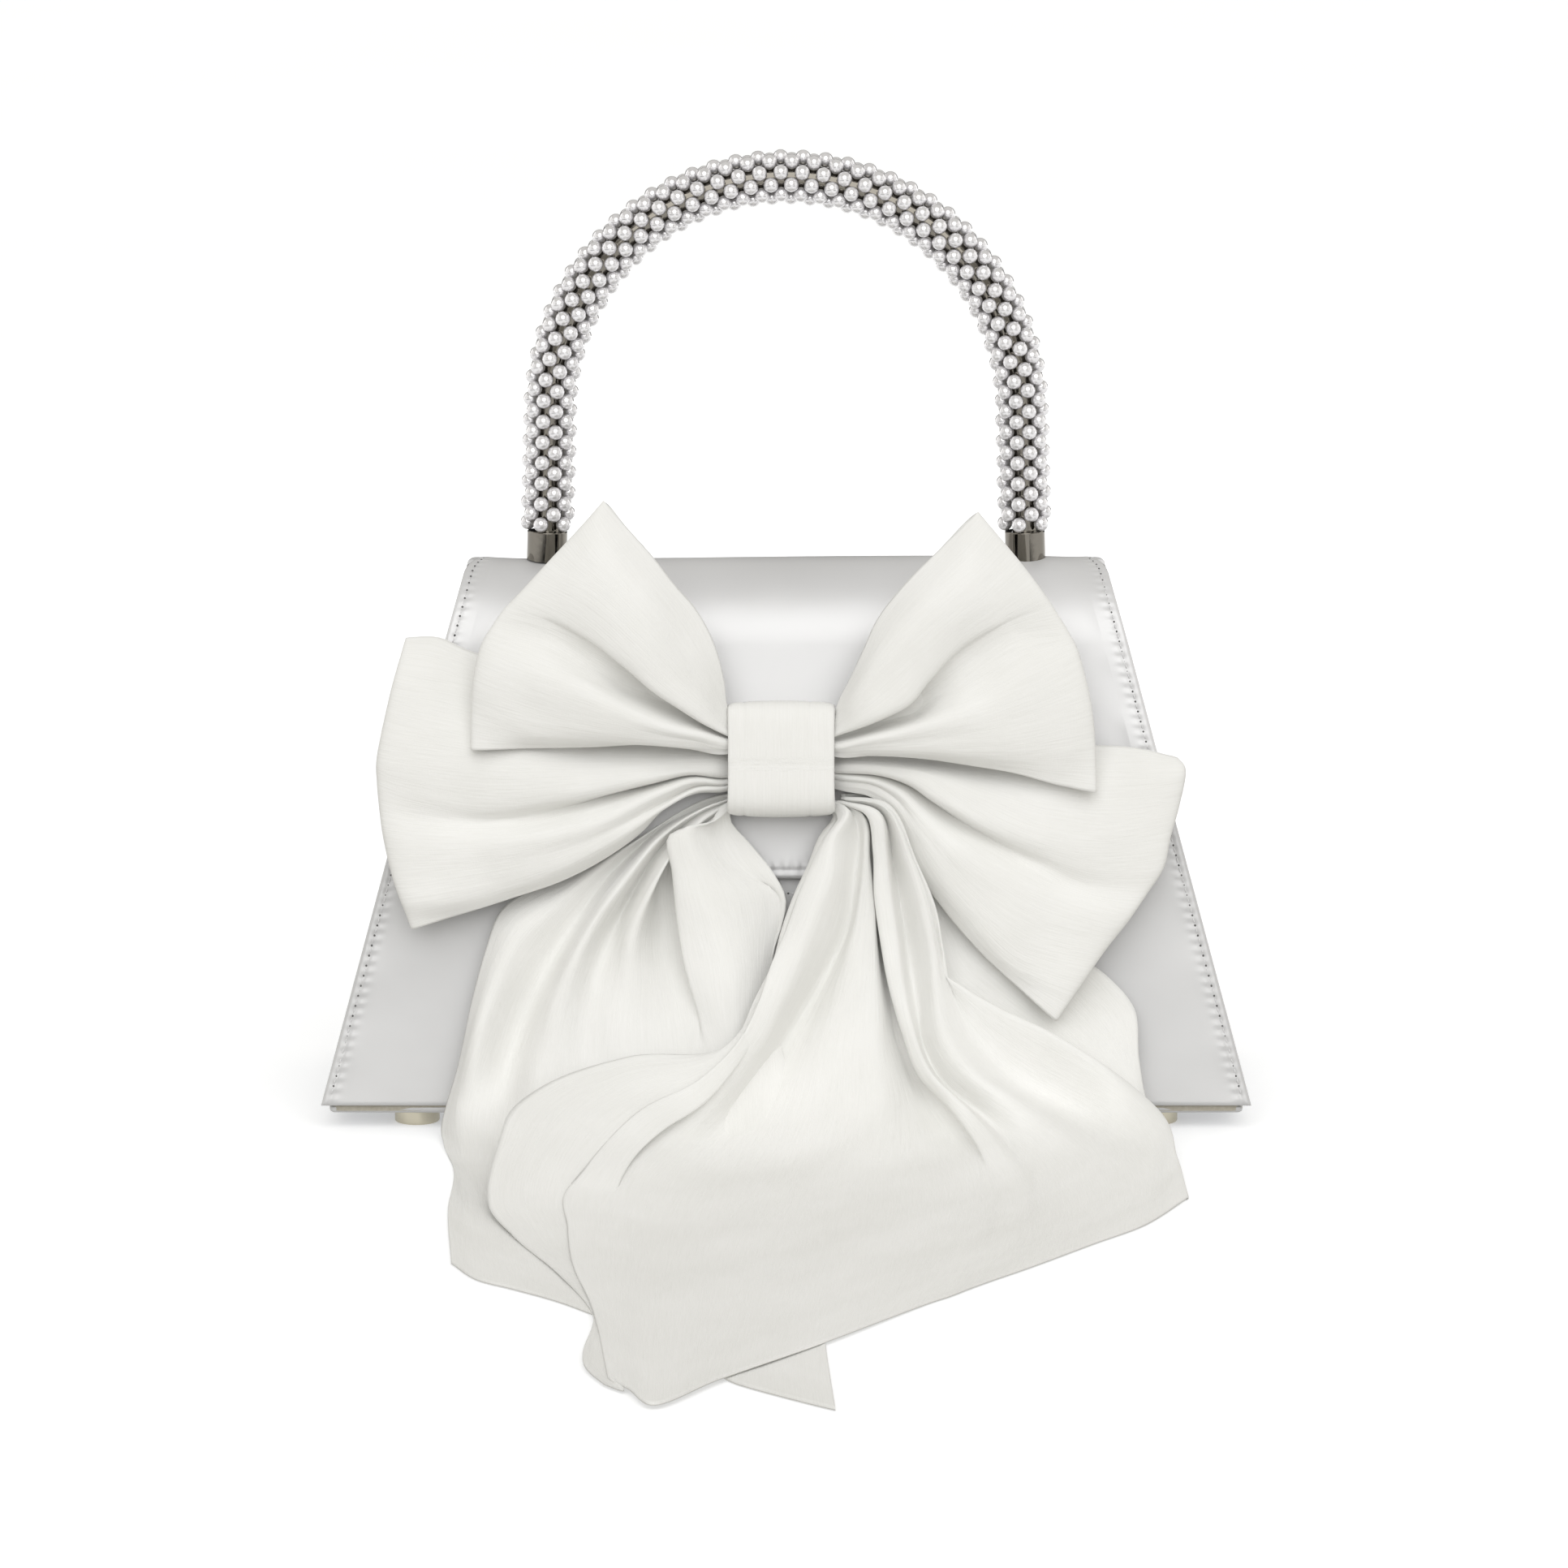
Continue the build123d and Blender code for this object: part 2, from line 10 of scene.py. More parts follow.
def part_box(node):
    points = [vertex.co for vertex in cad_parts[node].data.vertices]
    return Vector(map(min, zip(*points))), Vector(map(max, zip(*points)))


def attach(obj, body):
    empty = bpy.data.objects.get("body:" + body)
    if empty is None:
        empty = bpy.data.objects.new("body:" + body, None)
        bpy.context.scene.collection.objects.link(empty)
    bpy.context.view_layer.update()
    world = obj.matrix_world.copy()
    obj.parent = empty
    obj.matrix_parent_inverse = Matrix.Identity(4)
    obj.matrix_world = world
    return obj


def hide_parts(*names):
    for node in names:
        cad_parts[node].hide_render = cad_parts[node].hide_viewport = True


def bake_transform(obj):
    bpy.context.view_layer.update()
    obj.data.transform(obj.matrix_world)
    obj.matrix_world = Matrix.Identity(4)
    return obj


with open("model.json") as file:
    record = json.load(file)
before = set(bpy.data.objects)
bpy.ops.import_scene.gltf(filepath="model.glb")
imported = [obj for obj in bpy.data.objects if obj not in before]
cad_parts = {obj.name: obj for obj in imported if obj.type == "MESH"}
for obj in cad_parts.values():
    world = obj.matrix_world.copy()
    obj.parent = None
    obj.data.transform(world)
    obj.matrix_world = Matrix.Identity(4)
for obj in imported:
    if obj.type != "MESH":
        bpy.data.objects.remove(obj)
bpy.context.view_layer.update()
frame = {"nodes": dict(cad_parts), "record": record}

# Shapes are written in millimetres about the middle of the bag: x to the right, y to the back, z up.
MM = 0.001
NODES = frame["nodes"]


def box_mm(node):
    low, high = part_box(node)
    return np.array(low) / MM, np.array(high) / MM


TUBE_LOW, TUBE_HIGH = box_mm("handle_tube")
PANEL_LOW, PANEL_HIGH = box_mm("front_panel")
BACK_HIGH = box_mm("back_panel")[1]
FLAP_LOW, FLAP_HIGH = box_mm("flap_satin")
BAG_Y = (TUBE_LOW[1] + TUBE_HIGH[1]) / 2
BASE_Z = PANEL_LOW[2]
MOUTH_Z = PANEL_HIGH[2]
HINGE_BODY_Z = BACK_HIGH[2]          # top edge of the back panel
HINGE_FLAP_Z = BACK_HIGH[2] + 0.6    # the flap's own edge, across the hinge gap
BASE_HALF = PANEL_HIGH[0]
CREST_Z = FLAP_HIGH[2]
FLAP_BOTTOM_Z = FLAP_LOW[2]
LEAN = math.radians(12.5)            # front and back faces from the vertical
CROWN_RADIUS = 22.0
CROWN_Z = CREST_Z - CROWN_RADIUS
SATIN = 0.7
FLAP_THICKNESS = 2.6
LINING_THICKNESS = 0.5
FRONT_REACH = CROWN_RADIUS - 3.0     # the front panel lies this far inside the flap's outer face


def top_half_width(node):
    """Half the width of a panel along its top edge."""
    points = np.array([v.co for v in NODES[node].data.vertices]) / MM
    return np.abs(points[points[:, 2] > points[:, 2].max() - 0.05][:, 0]).max()


SIDE_SLOPE = (BASE_HALF - top_half_width("front_panel")) / (MOUTH_Z - BASE_Z)


def half_width(z):
    return BASE_HALF - SIDE_SLOPE * (z - BASE_Z)


def face_y(z, reach):
    """Depth at height z of a leaning face whose plane is `reach` from the crown's axis."""
    return reach / math.cos(LEAN) + math.tan(LEAN) * (CROWN_Z - z)


def on_flap(x, z, out):
    """The point at (x, z) that stands `out` in front of the flap's outer face."""
    x, z, out = np.broadcast_arrays(np.asarray(x, float), z, out)
    return np.stack([x, -face_y(z, CROWN_RADIUS + out), z], axis=-1)


def to_world(points):
    """Millimetres about the bag's middle to metres in the frame."""
    return (np.asarray(points, float) + (0, BAG_Y, 0)) * MM


# ---- curves ----
def spline(points, knots, where):
    """Points of a smooth curve that passes `points` at the given knots."""
    points = np.asarray(points, float)
    before = np.concatenate([[2 * points[0] - points[1]], points])
    after = np.concatenate([points, [2 * points[-1] - points[-2]]])
    spans = np.concatenate([[knots[1] - knots[0]], np.diff(knots), [knots[-1] - knots[-2]]])
    slopes = np.empty_like(points)
    for i in range(len(points)):
        back = (points[i] - before[i]) / spans[i]
        ahead = (after[i + 1] - points[i]) / spans[i + 1]
        slopes[i] = (back * spans[i + 1] + ahead * spans[i]) / (spans[i] + spans[i + 1])
    i = np.clip(np.searchsorted(knots, where, side="right") - 1, 0, len(points) - 2)
    shape = (-1,) + (1,) * (points.ndim - 1)
    width = (knots[i + 1] - knots[i]).reshape(shape)
    t = (where - knots[i]).reshape(shape) / width
    return ((2 * t**3 - 3 * t**2 + 1) * points[i] + (t**3 - 2 * t**2 + t) * width * slopes[i]
            + (-2 * t**3 + 3 * t**2) * points[i + 1] + (t**3 - t**2) * width * slopes[i + 1])


def curve_at(points, where):
    """Points at the given shares of the way along a smooth curve through `points`."""
    points = np.asarray(points, float)
    steps = np.linalg.norm(np.diff(points, axis=0), axis=1)
    knots = np.concatenate([[0], np.cumsum(steps)]) / steps.sum()
    return spline(points, knots, np.clip(np.asarray(where, float), 0, 1))


def ramp(x):
    """Smooth step from 0 to 1 as x goes from 0 to 1."""
    x = np.clip(x, 0, 1)
    return x * x * (3 - 2 * x)


# ---- meshes ----
def add_object(name, points, faces, uv=None):
    """A mesh object from points in mm about the bag's middle, with one UV per point in metres."""
    mesh = bpy.data.meshes.new(name)
    mesh.from_pydata([tuple(p) for p in to_world(points)], [], faces)
    mesh.validate()
    for polygon in mesh.polygons:
        polygon.use_smooth = True
    if uv is not None:
        layer = mesh.uv_layers.new(name="cloth")
        loops = np.empty(len(mesh.loops), int)
        mesh.loops.foreach_get("vertex_index", loops)
        layer.data.foreach_set("uv", np.asarray(uv, float)[loops].ravel())
    made = bpy.data.objects.new(name, mesh)
    bpy.context.scene.collection.objects.link(made)
    return made


def grid_faces(rows, columns, wrap_rows=False, flip=False, start=0):
    faces = []
    for i in range(rows if wrap_rows else rows - 1):
        low, high = start + i * columns, start + ((i + 1) % rows) * columns
        for j in range(columns - 1):
            face = (low + j, low + j + 1, high + j + 1, high + j)
            faces.append(face[::-1] if flip else face)
    return faces


def cloth_uv(points):
    """Flat coordinates of a grid of points: metres along and across the cloth."""
    along = np.linalg.norm(np.diff(points, axis=0), axis=2).mean(axis=1)
    across = np.linalg.norm(np.diff(points, axis=1), axis=2).max(axis=0)
    u = np.concatenate([[0], np.cumsum(along)])
    v = np.concatenate([[0], np.cumsum(across)])
    grid = np.stack(np.meshgrid(u, v, indexing="ij"), axis=-1)
    return (grid * MM).reshape(-1, 2)


def grid_object(name, points, flip=False, wrap_rows=False):
    rows, columns = points.shape[:2]
    faces = grid_faces(rows, columns, wrap_rows, flip)
    return add_object(name, points.reshape(-1, 3), faces, cloth_uv(points))


def thicken(piece, thickness, levels=1, offset=0.0):
    """Gives a sheet its cloth thickness, in mm, and smooths it."""
    solid = piece.modifiers.new("thickness", "SOLIDIFY")
    solid.thickness, solid.offset, solid.use_even_offset = thickness * MM, offset, False
    if levels:
        smooth = piece.modifiers.new("smooth", "SUBSURF")
        smooth.levels = smooth.render_levels = levels


def finish_piece(piece, body, material, replaces=()):
    piece.data.materials.append(material)
    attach(piece, body)
    if replaces:
        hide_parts(*replaces)
    return piece


# ---- materials ----
def new_material(name, **sockets):
    """A Principled material with the given sockets, and its nodes, links and shader."""
    material = bpy.data.materials.new(name)
    material.use_nodes = True
    nodes, links = material.node_tree.nodes, material.node_tree.links
    shader = nodes["Principled BSDF"]
    for socket, value in sockets.items():
        shader.inputs[socket.replace("_", " ")].default_value = value
    return material, nodes, links, shader


def texture_space(nodes, links, scale, uv=None):
    """Texture coordinates scaled per axis: the named UV map's, or the object's own."""
    if uv:
        source = nodes.new("ShaderNodeUVMap")
        source.uv_map = uv
        output = source.outputs["UV"]
    else:
        output = nodes.new("ShaderNodeTexCoord").outputs["Object"]
    mapping = nodes.new("ShaderNodeMapping")
    mapping.inputs["Scale"].default_value = scale
    links.new(output, mapping.inputs["Vector"])
    return mapping.outputs["Vector"]


def noise_node(nodes, links, space, scale, detail=3.0, roughness=0.55):
    texture = nodes.new("ShaderNodeTexNoise")
    texture.inputs["Scale"].default_value = scale
    texture.inputs["Detail"].default_value = detail
    texture.inputs["Roughness"].default_value = roughness
    links.new(space, texture.inputs["Vector"])
    return texture.outputs["Fac"]


def colour_ramp(nodes, links, value, low, high, start=0.3, end=0.7):
    """Turns a 0-1 value into a colour between two colours."""
    made = nodes.new("ShaderNodeValToRGB")
    made.color_ramp.elements[0].position, made.color_ramp.elements[1].position = start, end
    made.color_ramp.elements[0].color = (*low, 1)
    made.color_ramp.elements[1].color = (*high, 1)
    links.new(value, made.inputs["Fac"])
    return made.outputs["Color"]


def add_bump(nodes, links, height, strength, distance, under=None):
    """A bump of `distance` metres at `strength`, over another bump."""
    bump = nodes.new("ShaderNodeBump")
    bump.inputs["Strength"].default_value = strength
    bump.inputs["Distance"].default_value = distance
    links.new(height, bump.inputs["Height"])
    if under is not None:
        links.new(under, bump.inputs["Normal"])
    return bump.outputs["Normal"]


def satin_material(name, low, high):
    """Silver-white satin: a soft broad gloss over very fine crosswise floats."""
    material, nodes, links, shader = new_material(
        name, Metallic=0.28, Roughness=0.42, Sheen_Weight=0.1, Specular_IOR_Level=0.7)
    space = texture_space(nodes, links, (1, 1, 1))
    cloudy = noise_node(nodes, links, space, 22, 2)
    links.new(colour_ramp(nodes, links, cloudy, low, high), shader.inputs["Base Color"])
    floats = noise_node(nodes, links, texture_space(nodes, links, (900, 3500, 3500)), 1.0, 2)
    slack = noise_node(nodes, links, space, 45, 2)
    normal = add_bump(nodes, links, slack, 0.25, 0.0012)
    links.new(add_bump(nodes, links, floats, 0.12, 0.00005, normal), shader.inputs["Normal"])
    rough = colour_ramp(nodes, links, cloudy, (0.38, 0.38, 0.38), (0.46, 0.46, 0.46))
    links.new(rough, shader.inputs["Roughness"])
    return material


def bow_material():
    """Ivory crepe taffeta: matt, with fine uneven ribs running along the ribbon."""
    material, nodes, links, shader = new_material(
        "bow_cloth", Roughness=0.85, Sheen_Weight=0.1, Sheen_Roughness=0.5, Specular_IOR_Level=0.1)
    threads = noise_node(nodes, links, texture_space(nodes, links, (90, 2300, 1), uv="cloth"), 1.0, 3, 0.6)
    weft = noise_node(nodes, links, texture_space(nodes, links, (2600, 500, 1), uv="cloth"), 1.0, 2)
    cloudy = noise_node(nodes, links, texture_space(nodes, links, (30, 18, 1), uv="cloth"), 1.0, 3)
    slack = noise_node(nodes, links, texture_space(nodes, links, (70, 240, 1), uv="cloth"), 1.0, 3)
    mix = nodes.new("ShaderNodeMath")
    mix.operation = "MULTIPLY_ADD"
    links.new(threads, mix.inputs[0])
    mix.inputs[1].default_value = 0.6
    links.new(cloudy, mix.inputs[2])
    ivory = colour_ramp(nodes, links, mix.outputs[0], (0.785, 0.783, 0.758), (0.855, 0.853, 0.836), 0.5, 1.1)
    links.new(ivory, shader.inputs["Base Color"])
    normal = add_bump(nodes, links, slack, 0.35, 0.0006)
    normal = add_bump(nodes, links, threads, 0.5, 0.00016, normal)
    links.new(add_bump(nodes, links, weft, 0.3, 0.00008, normal), shader.inputs["Normal"])
    return material


def cloth_material(name, low, high, threads_per_metre):
    """A plain woven cloth, such as the lining or the boards' felt."""
    material, nodes, links, shader = new_material(name, Roughness=0.8, Sheen_Weight=0.2)
    space = texture_space(nodes, links, (threads_per_metre,) * 3)
    weave = noise_node(nodes, links, space, 1.0, 2)
    links.new(colour_ramp(nodes, links, weave, low, high), shader.inputs["Base Color"])
    links.new(add_bump(nodes, links, weave, 0.4, 0.0001), shader.inputs["Normal"])
    return material


def metal_material(name, colour, roughness, scratches=0.02):
    """A plated metal with faint wear in its gloss."""
    material, nodes, links, shader = new_material(name, Metallic=1.0, Roughness=roughness)
    shader.inputs["Base Color"].default_value = (*colour, 1)
    worn = noise_node(nodes, links, texture_space(nodes, links, (1, 1, 1)), 900, 4)
    low, high = max(roughness - scratches, 0.01), roughness + 2 * scratches
    links.new(colour_ramp(nodes, links, worn, (low,) * 3, (high,) * 3), shader.inputs["Roughness"])
    return material


def pearl_material():
    """Pearl-coated beads: a silvery white under a clear glossy coat."""
    material, nodes, links, shader = new_material(
        "pearl", Metallic=0.6, Roughness=0.16, Coat_Weight=0.5, Coat_Roughness=0.02, Coat_IOR=1.7)
    shade = noise_node(nodes, links, texture_space(nodes, links, (1, 1, 1)), 420, 2)
    links.new(colour_ramp(nodes, links, shade, (0.78, 0.77, 0.785), (0.86, 0.85, 0.865)),
              shader.inputs["Base Color"])
    return material


def painted_hole_shade_material():
    """Painted shade: a near-black colour standing in for the shadowed inside of a needle hole."""
    material, nodes, links, shader = new_material("needle_hole_painted_shade", Roughness=1.0)
    shade = noise_node(nodes, links, texture_space(nodes, links, (1, 1, 1)), 800, 1)
    links.new(colour_ramp(nodes, links, shade, (0.10, 0.10, 0.10), (0.16, 0.16, 0.155)),
              shader.inputs["Base Color"])
    return material


SATIN_CLOTH = satin_material("satin", (0.635, 0.635, 0.64), (0.68, 0.68, 0.685))
# A darker copy of the flap's satin for the walls, base, bindings and hinge: the same cloth, and its lower
# brightness is painted shade.
SHADED_BODY_SATIN = satin_material("body_satin_painted_shade", (0.52, 0.52, 0.522), (0.57, 0.57, 0.572))
BOW_CLOTH = bow_material()
LINING_CLOTH = cloth_material("lining_cloth", (0.60, 0.57, 0.50), (0.70, 0.67, 0.60), 2500)
BOARD_FELT = cloth_material("board", (0.44, 0.41, 0.34), (0.52, 0.49, 0.42), 1200)
NICKEL = metal_material("polished_nickel", (0.21, 0.195, 0.17), 0.06)
PLATED = metal_material("plated_steel", (0.62, 0.61, 0.59), 0.24)
FOOT_METAL = metal_material("foot_metal", (0.60, 0.56, 0.45), 0.33, 0.04)
MAGNET = metal_material("magnet", (0.12, 0.12, 0.125), 0.5, 0.05)
PEARL = pearl_material()
# Near-black painted shade for the needle holes.
NEEDLE_HOLE_PAINTED_SHADE = painted_hole_shade_material()

SLOT_MATERIALS = {
    "satin": SATIN_CLOTH, "bow_cloth": BOW_CLOTH, "lining_cloth": LINING_CLOTH, "board": BOARD_FELT,
    "polished_nickel": NICKEL, "plated_steel": PLATED, "foot_metal": FOOT_METAL, "magnet": MAGNET,
    "pearl": PEARL,
}


def dress_cad_nodes():
    """Gives every CAD node its slot's material."""
    for part in frame["record"]["subparts"]:
        mesh = NODES[part["node"]].data
        mesh.materials.clear()
        mesh.materials.append(SLOT_MATERIALS[part["material_slot"]])


# ---- satin panels ----
EDGE_ROUND = 0.8             # radius of a turned satin edge
SEAM_IN = 2.0                # stitches from the edge
STITCH = 2.4                 # needle hole to needle hole


def turned_edge(inward):
    """Height of a satin sheet near an edge that turns under."""
    near = np.clip(inward, 0, EDGE_ROUND)
    return np.sqrt(np.maximum(EDGE_ROUND**2 - (EDGE_ROUND - near) ** 2, 0)) - EDGE_ROUND


def edge_relief(inward, along):
    """Height of the satin near a stitched edge: turned edge, seam groove and puckers."""
    beat = np.cos(2 * math.pi * along / STITCH)
    groove = -0.16 * np.exp(-(((inward - SEAM_IN) / 0.45) ** 2))
    pucker = 0.10 * beat * np.exp(-(((inward - SEAM_IN - 0.5) / 1.3) ** 2)) * ramp(inward / 0.8)
    slow = 0.10 * np.sin(2 * math.pi * along / 17.3 + 1.3) * np.exp(-(((inward - 4.0) / 2.5) ** 2))
    return turned_edge(inward) + groove + pucker + slow


EDGE_BAND = 6.4              # close columns this far in from each edge
SNAP_Z = 66.0
SNAP_BAND = 10.0             # close columns this far from the middle, round the snap


def edge_columns(half, spread):
    """Columns' distances from the left edge across a panel: close near both edges and the middle."""
    close = np.concatenate([[0, 0.08, 0.25, 0.5], np.arange(0.8, EDGE_BAND, 0.32)])
    middle = np.concatenate([np.linspace(close[-1], half - SNAP_BAND, spread)[1:],
                             np.arange(half - SNAP_BAND, half, 0.5)[1:]])
    left = np.concatenate([close, middle])
    return np.concatenate([left, [half], 2 * half - left[::-1]])


def spread_columns(columns, half_now, half_widest):
    """x of each column where the panel's half width is `half_now`: those near an edge stay near it."""
    middle = (columns - half_widest) / (half_widest - EDGE_BAND) * (half_now - EDGE_BAND)
    x = np.where(columns < EDGE_BAND, columns - half_now, middle)
    return np.where(columns > 2 * half_widest - EDGE_BAND, columns - 2 * half_widest + half_now, x)


def snap_hollow(x, z, radius, depth):
    """The cloth is held down round the snap, behind its plate."""
    away = np.hypot(x, (z - SNAP_Z) / math.cos(LEAN))
    return -depth * ramp((radius + 0.5 - away) / 0.6)


def with_skirt(points, out_directions, depth):
    """Adds a border of points `depth` behind the sheet's edges, so the edge shows its thickness."""
    padded = np.pad(points, ((1, 1), (1, 1), (0, 0)), mode="edge")
    shift = np.pad(out_directions, ((1, 1), (1, 1), (0, 0)), mode="edge") * -depth
    mask = np.zeros(padded.shape[:2], bool)
    mask[[0, -1], :] = True
    mask[:, [0, -1]] = True
    padded[mask] += shift[mask]
    return padded


def panel_points(reach, side, bottom, top):
    """The outer face of the front (side -1) or back (side 1) panel."""
    rows = np.concatenate([[bottom, bottom + 0.1], np.arange(bottom + 0.3, top - 0.1, 0.33), [top]])
    columns = edge_columns(half_width(bottom), 14)
    z = rows[:, None] * np.ones_like(columns)
    half = half_width(z)
    x = spread_columns(columns, half, half_width(bottom))
    out = edge_relief(half - np.abs(x), z) + turned_edge((z - bottom) / math.cos(LEAN))
    out += 0.3 * small_waves(np.stack([x, z, 0 * z], axis=-1), 40.0, side) * ramp((half - np.abs(x)) / 12)
    if side < 0:
        out += snap_hollow(x, z, 7.1, 1.2)
    y = side * (reach / math.cos(LEAN) + math.tan(LEAN) * (CROWN_Z - z) + out * math.cos(LEAN))
    points = np.stack([x, y, z + out * math.sin(LEAN)], axis=-1)
    direction = np.broadcast_to([0, side * math.cos(LEAN), math.sin(LEAN)], points.shape)
    return with_skirt(points, direction, SATIN - 0.1)


def body_panel(name, reach, side, top):
    """A stitched satin wall."""
    points = panel_points(reach, side, BASE_Z, top)
    piece = grid_object(name + "_satin", points, flip=(side > 0))
    return finish_piece(piece, "bag", SHADED_BODY_SATIN, [name])


FLAP_CORNER = 22.0
HALF_CORNER = (math.pi / 2 - math.atan(SIDE_SLOPE)) / 2      # half the angle between bottom and side
FLAP_CORNER_X = half_width(FLAP_BOTTOM_Z) - FLAP_CORNER / math.tan(HALF_CORNER)
FLAP_CORNER_Z = FLAP_BOTTOM_Z + FLAP_CORNER
CREST_CORNER = 1.8
BACK_DROP = (CROWN_Z + CROWN_RADIUS * math.sin(LEAN) - HINGE_FLAP_Z) / math.cos(LEAN)
ARC = CROWN_RADIUS * (math.pi - 2 * LEAN)
FRONT_DROP = (CROWN_Z + CROWN_RADIUS * math.sin(LEAN) - FLAP_BOTTOM_Z) / math.cos(LEAN)


def flap_half(z):
    """Half the flap's width at height z, with its rounded corners."""
    z = np.asarray(z, float)
    side = half_width(z)
    low = FLAP_CORNER_X + np.sqrt(np.maximum(FLAP_CORNER**2 - (FLAP_CORNER_Z - z) ** 2, 0))
    in_corner = z < FLAP_CORNER_Z + FLAP_CORNER * SIDE_SLOPE
    high = np.clip(z - (CREST_Z - CREST_CORNER), 0, CREST_CORNER)
    crest = CREST_CORNER - np.sqrt(np.maximum(CREST_CORNER**2 - high**2, 0))
    return np.where(in_corner, np.minimum(low, side), side - crest)


def flap_profile(along):
    """Outer face from the hinge over the crown to the front: (y, z) and the outward normal."""
    along = np.asarray(along, float)
    angle = LEAN + np.clip(along - BACK_DROP, 0, ARC) / CROWN_RADIUS
    normal = np.stack([np.cos(angle), np.sin(angle)], axis=-1)
    back = np.minimum(along - BACK_DROP, 0)
    front = np.maximum(along - BACK_DROP - ARC, 0)
    y = CROWN_RADIUS * normal[..., 0] - math.sin(LEAN) * (back + front)
    z = CROWN_Z + CROWN_RADIUS * normal[..., 1] + math.cos(LEAN) * (back - front)
    return y, z, normal


def flap_point(x, along, out):
    y, z, normal = flap_profile(along)
    return np.stack(np.broadcast_arrays(x, y + out * normal[..., 0], z + out * normal[..., 1]), axis=-1)


def flap_inward(x, z):
    """Distance from the flap's outline, for points on its front."""
    side = (half_width(z) - np.abs(x)) * math.cos(math.atan(SIDE_SLOPE))
    bottom = (z - FLAP_BOTTOM_Z) / math.cos(LEAN)
    corner = FLAP_CORNER - np.hypot(np.abs(x) - FLAP_CORNER_X, z - FLAP_CORNER_Z)
    in_corner = (np.abs(x) > FLAP_CORNER_X) & (z < FLAP_CORNER_Z + FLAP_CORNER * SIDE_SLOPE)
    return np.where(in_corner, corner, np.minimum(side, np.maximum(bottom, 0)))


FLAP_LENGTH = BACK_DROP + ARC + FRONT_DROP


def flap_grid():
    """Places over the flap: distance along from the hinge, x, and distance in from the outline."""
    near_edge = FLAP_LENGTH - 6
    rows = np.concatenate([np.arange(0, near_edge, 0.4), np.arange(near_edge, FLAP_LENGTH - 0.8, 0.3),
                           FLAP_LENGTH - np.array([0.8, 0.5, 0.25, 0.1, 0.0])])
    _, z_rows, _ = flap_profile(rows)
    widest = half_width(FLAP_CORNER_Z)
    columns = edge_columns(widest, 20)
    half = flap_half(z_rows)[:, None]
    x = spread_columns(columns, half, widest)
    along = rows[:, None] * np.ones_like(x)
    z = z_rows[:, None] * np.ones_like(x)
    inward = np.where(along > BACK_DROP + ARC, flap_inward(x, z), half - np.abs(x))
    return along, x, z, half, np.maximum(inward, 0)


def flap_piece():
    """The rolled satin flap, stitched round its edge."""
    along, x, _, half, inward = flap_grid()
    seam = np.where(half - np.abs(x) < 6, along, x)
    soft = 0.35 * np.sin(x / 31 + 0.4) * np.sin(along / 23) * ramp(inward / 15)
    points = flap_point(x, along, edge_relief(inward, seam) + soft)
    _, _, normal = flap_profile(along)
    direction = np.concatenate([np.zeros_like(x)[..., None], normal], axis=-1)
    piece = grid_object("flap_cover", with_skirt(points, direction, SATIN - 0.1))
    return finish_piece(piece, "flap", SATIN_CLOTH, ["flap_satin"])


def flap_lining_piece():
    """The cloth inside the flap, just in from the satin's edge and held down by the snap's stud."""
    along, x, z, half, inward = flap_grid()
    inset = 0.9
    shrink = (half - inset) / half
    waves = 0.12 * small_waves(np.stack([x, along, 0 * x], axis=-1), 16.0, 6.0) * ramp(inward / 9)
    hollow = snap_hollow(x, z, 6.7, 1.3) * (along > BACK_DROP + ARC)
    lift = waves - 0.4 * turned_edge(inward) - hollow
    points = flap_point(x * shrink, np.minimum(along, FLAP_LENGTH - inset),
                        LINING_THICKNESS / 2 - FLAP_THICKNESS + lift)
    piece = grid_object("flap_inner_cloth", points, flip=True)
    thicken(piece, LINING_THICKNESS, levels=0)
    return finish_piece(piece, "flap", LINING_CLOTH, ["flap_lining"])


# ---- gussets, base, lining and hinge ----
GUSSET_IN = 0.5              # the gussets' faces stand this far inside the ends of the panels
GUSSET_FRONT = FRONT_REACH - SATIN - 0.05
GUSSET_BACK = CROWN_RADIUS - SATIN - 0.05
SHOULDER_Z = MOUTH_Z - 1     # above this the gussets are round
BINDING_IN = 2.75            # a gusset's binding reaches this far in from the end


def end_outline(front, back, z):
    """Depths of an end wall's front and back edges at height z, with its round top."""
    arc = np.sqrt(np.maximum(front**2 - (z - CROWN_Z) ** 2, 0))
    lower = z < CROWN_Z - front * math.sin(LEAN)
    near = np.where(z < CROWN_Z + front * math.sin(LEAN), face_y(z, front), arc)
    return -np.where(lower, face_y(z, front), near), np.where(z < SHOULDER_Z, face_y(z, back), near)


def gusset_piece(name, side):
    """An end wall: satin over a board, with a soft swell and turned edges."""
    top = CROWN_Z + GUSSET_FRONT
    z = np.concatenate([[BASE_Z, BASE_Z + 0.15], np.arange(BASE_Z + 0.5, top - 4, 0.8),
                        top - 4 * (1 - np.linspace(0, 1, 24)) ** 2])[:-1]
    share = ramp(np.linspace(0, 1, 70))
    front, back = end_outline(GUSSET_FRONT, GUSSET_BACK, z)
    y = front[:, None] + share * (back - front)[:, None]
    height = z[:, None] * np.ones_like(y)
    inward = np.minimum(np.minimum(y - front[:, None], back[:, None] - y), top - height)
    inward = np.minimum(inward, height - BASE_Z)
    waves = small_waves(np.stack([0 * y, y, height], axis=-1), 30.0, 3.0 * side)
    out = turned_edge(inward) + 0.35 * ramp(inward / 15)
    out += 0.35 * waves * ramp(inward / 8) - 0.3
    points = np.stack([side * (half_width(height) - GUSSET_IN + out), y, height], axis=-1)
    direction = np.broadcast_to([side, 0, 0.27], points.shape)
    piece = grid_object(name + "_satin", with_skirt(points, direction, SATIN - 0.1), flip=(side > 0))
    return finish_piece(piece, "bag", SHADED_BODY_SATIN, [name])


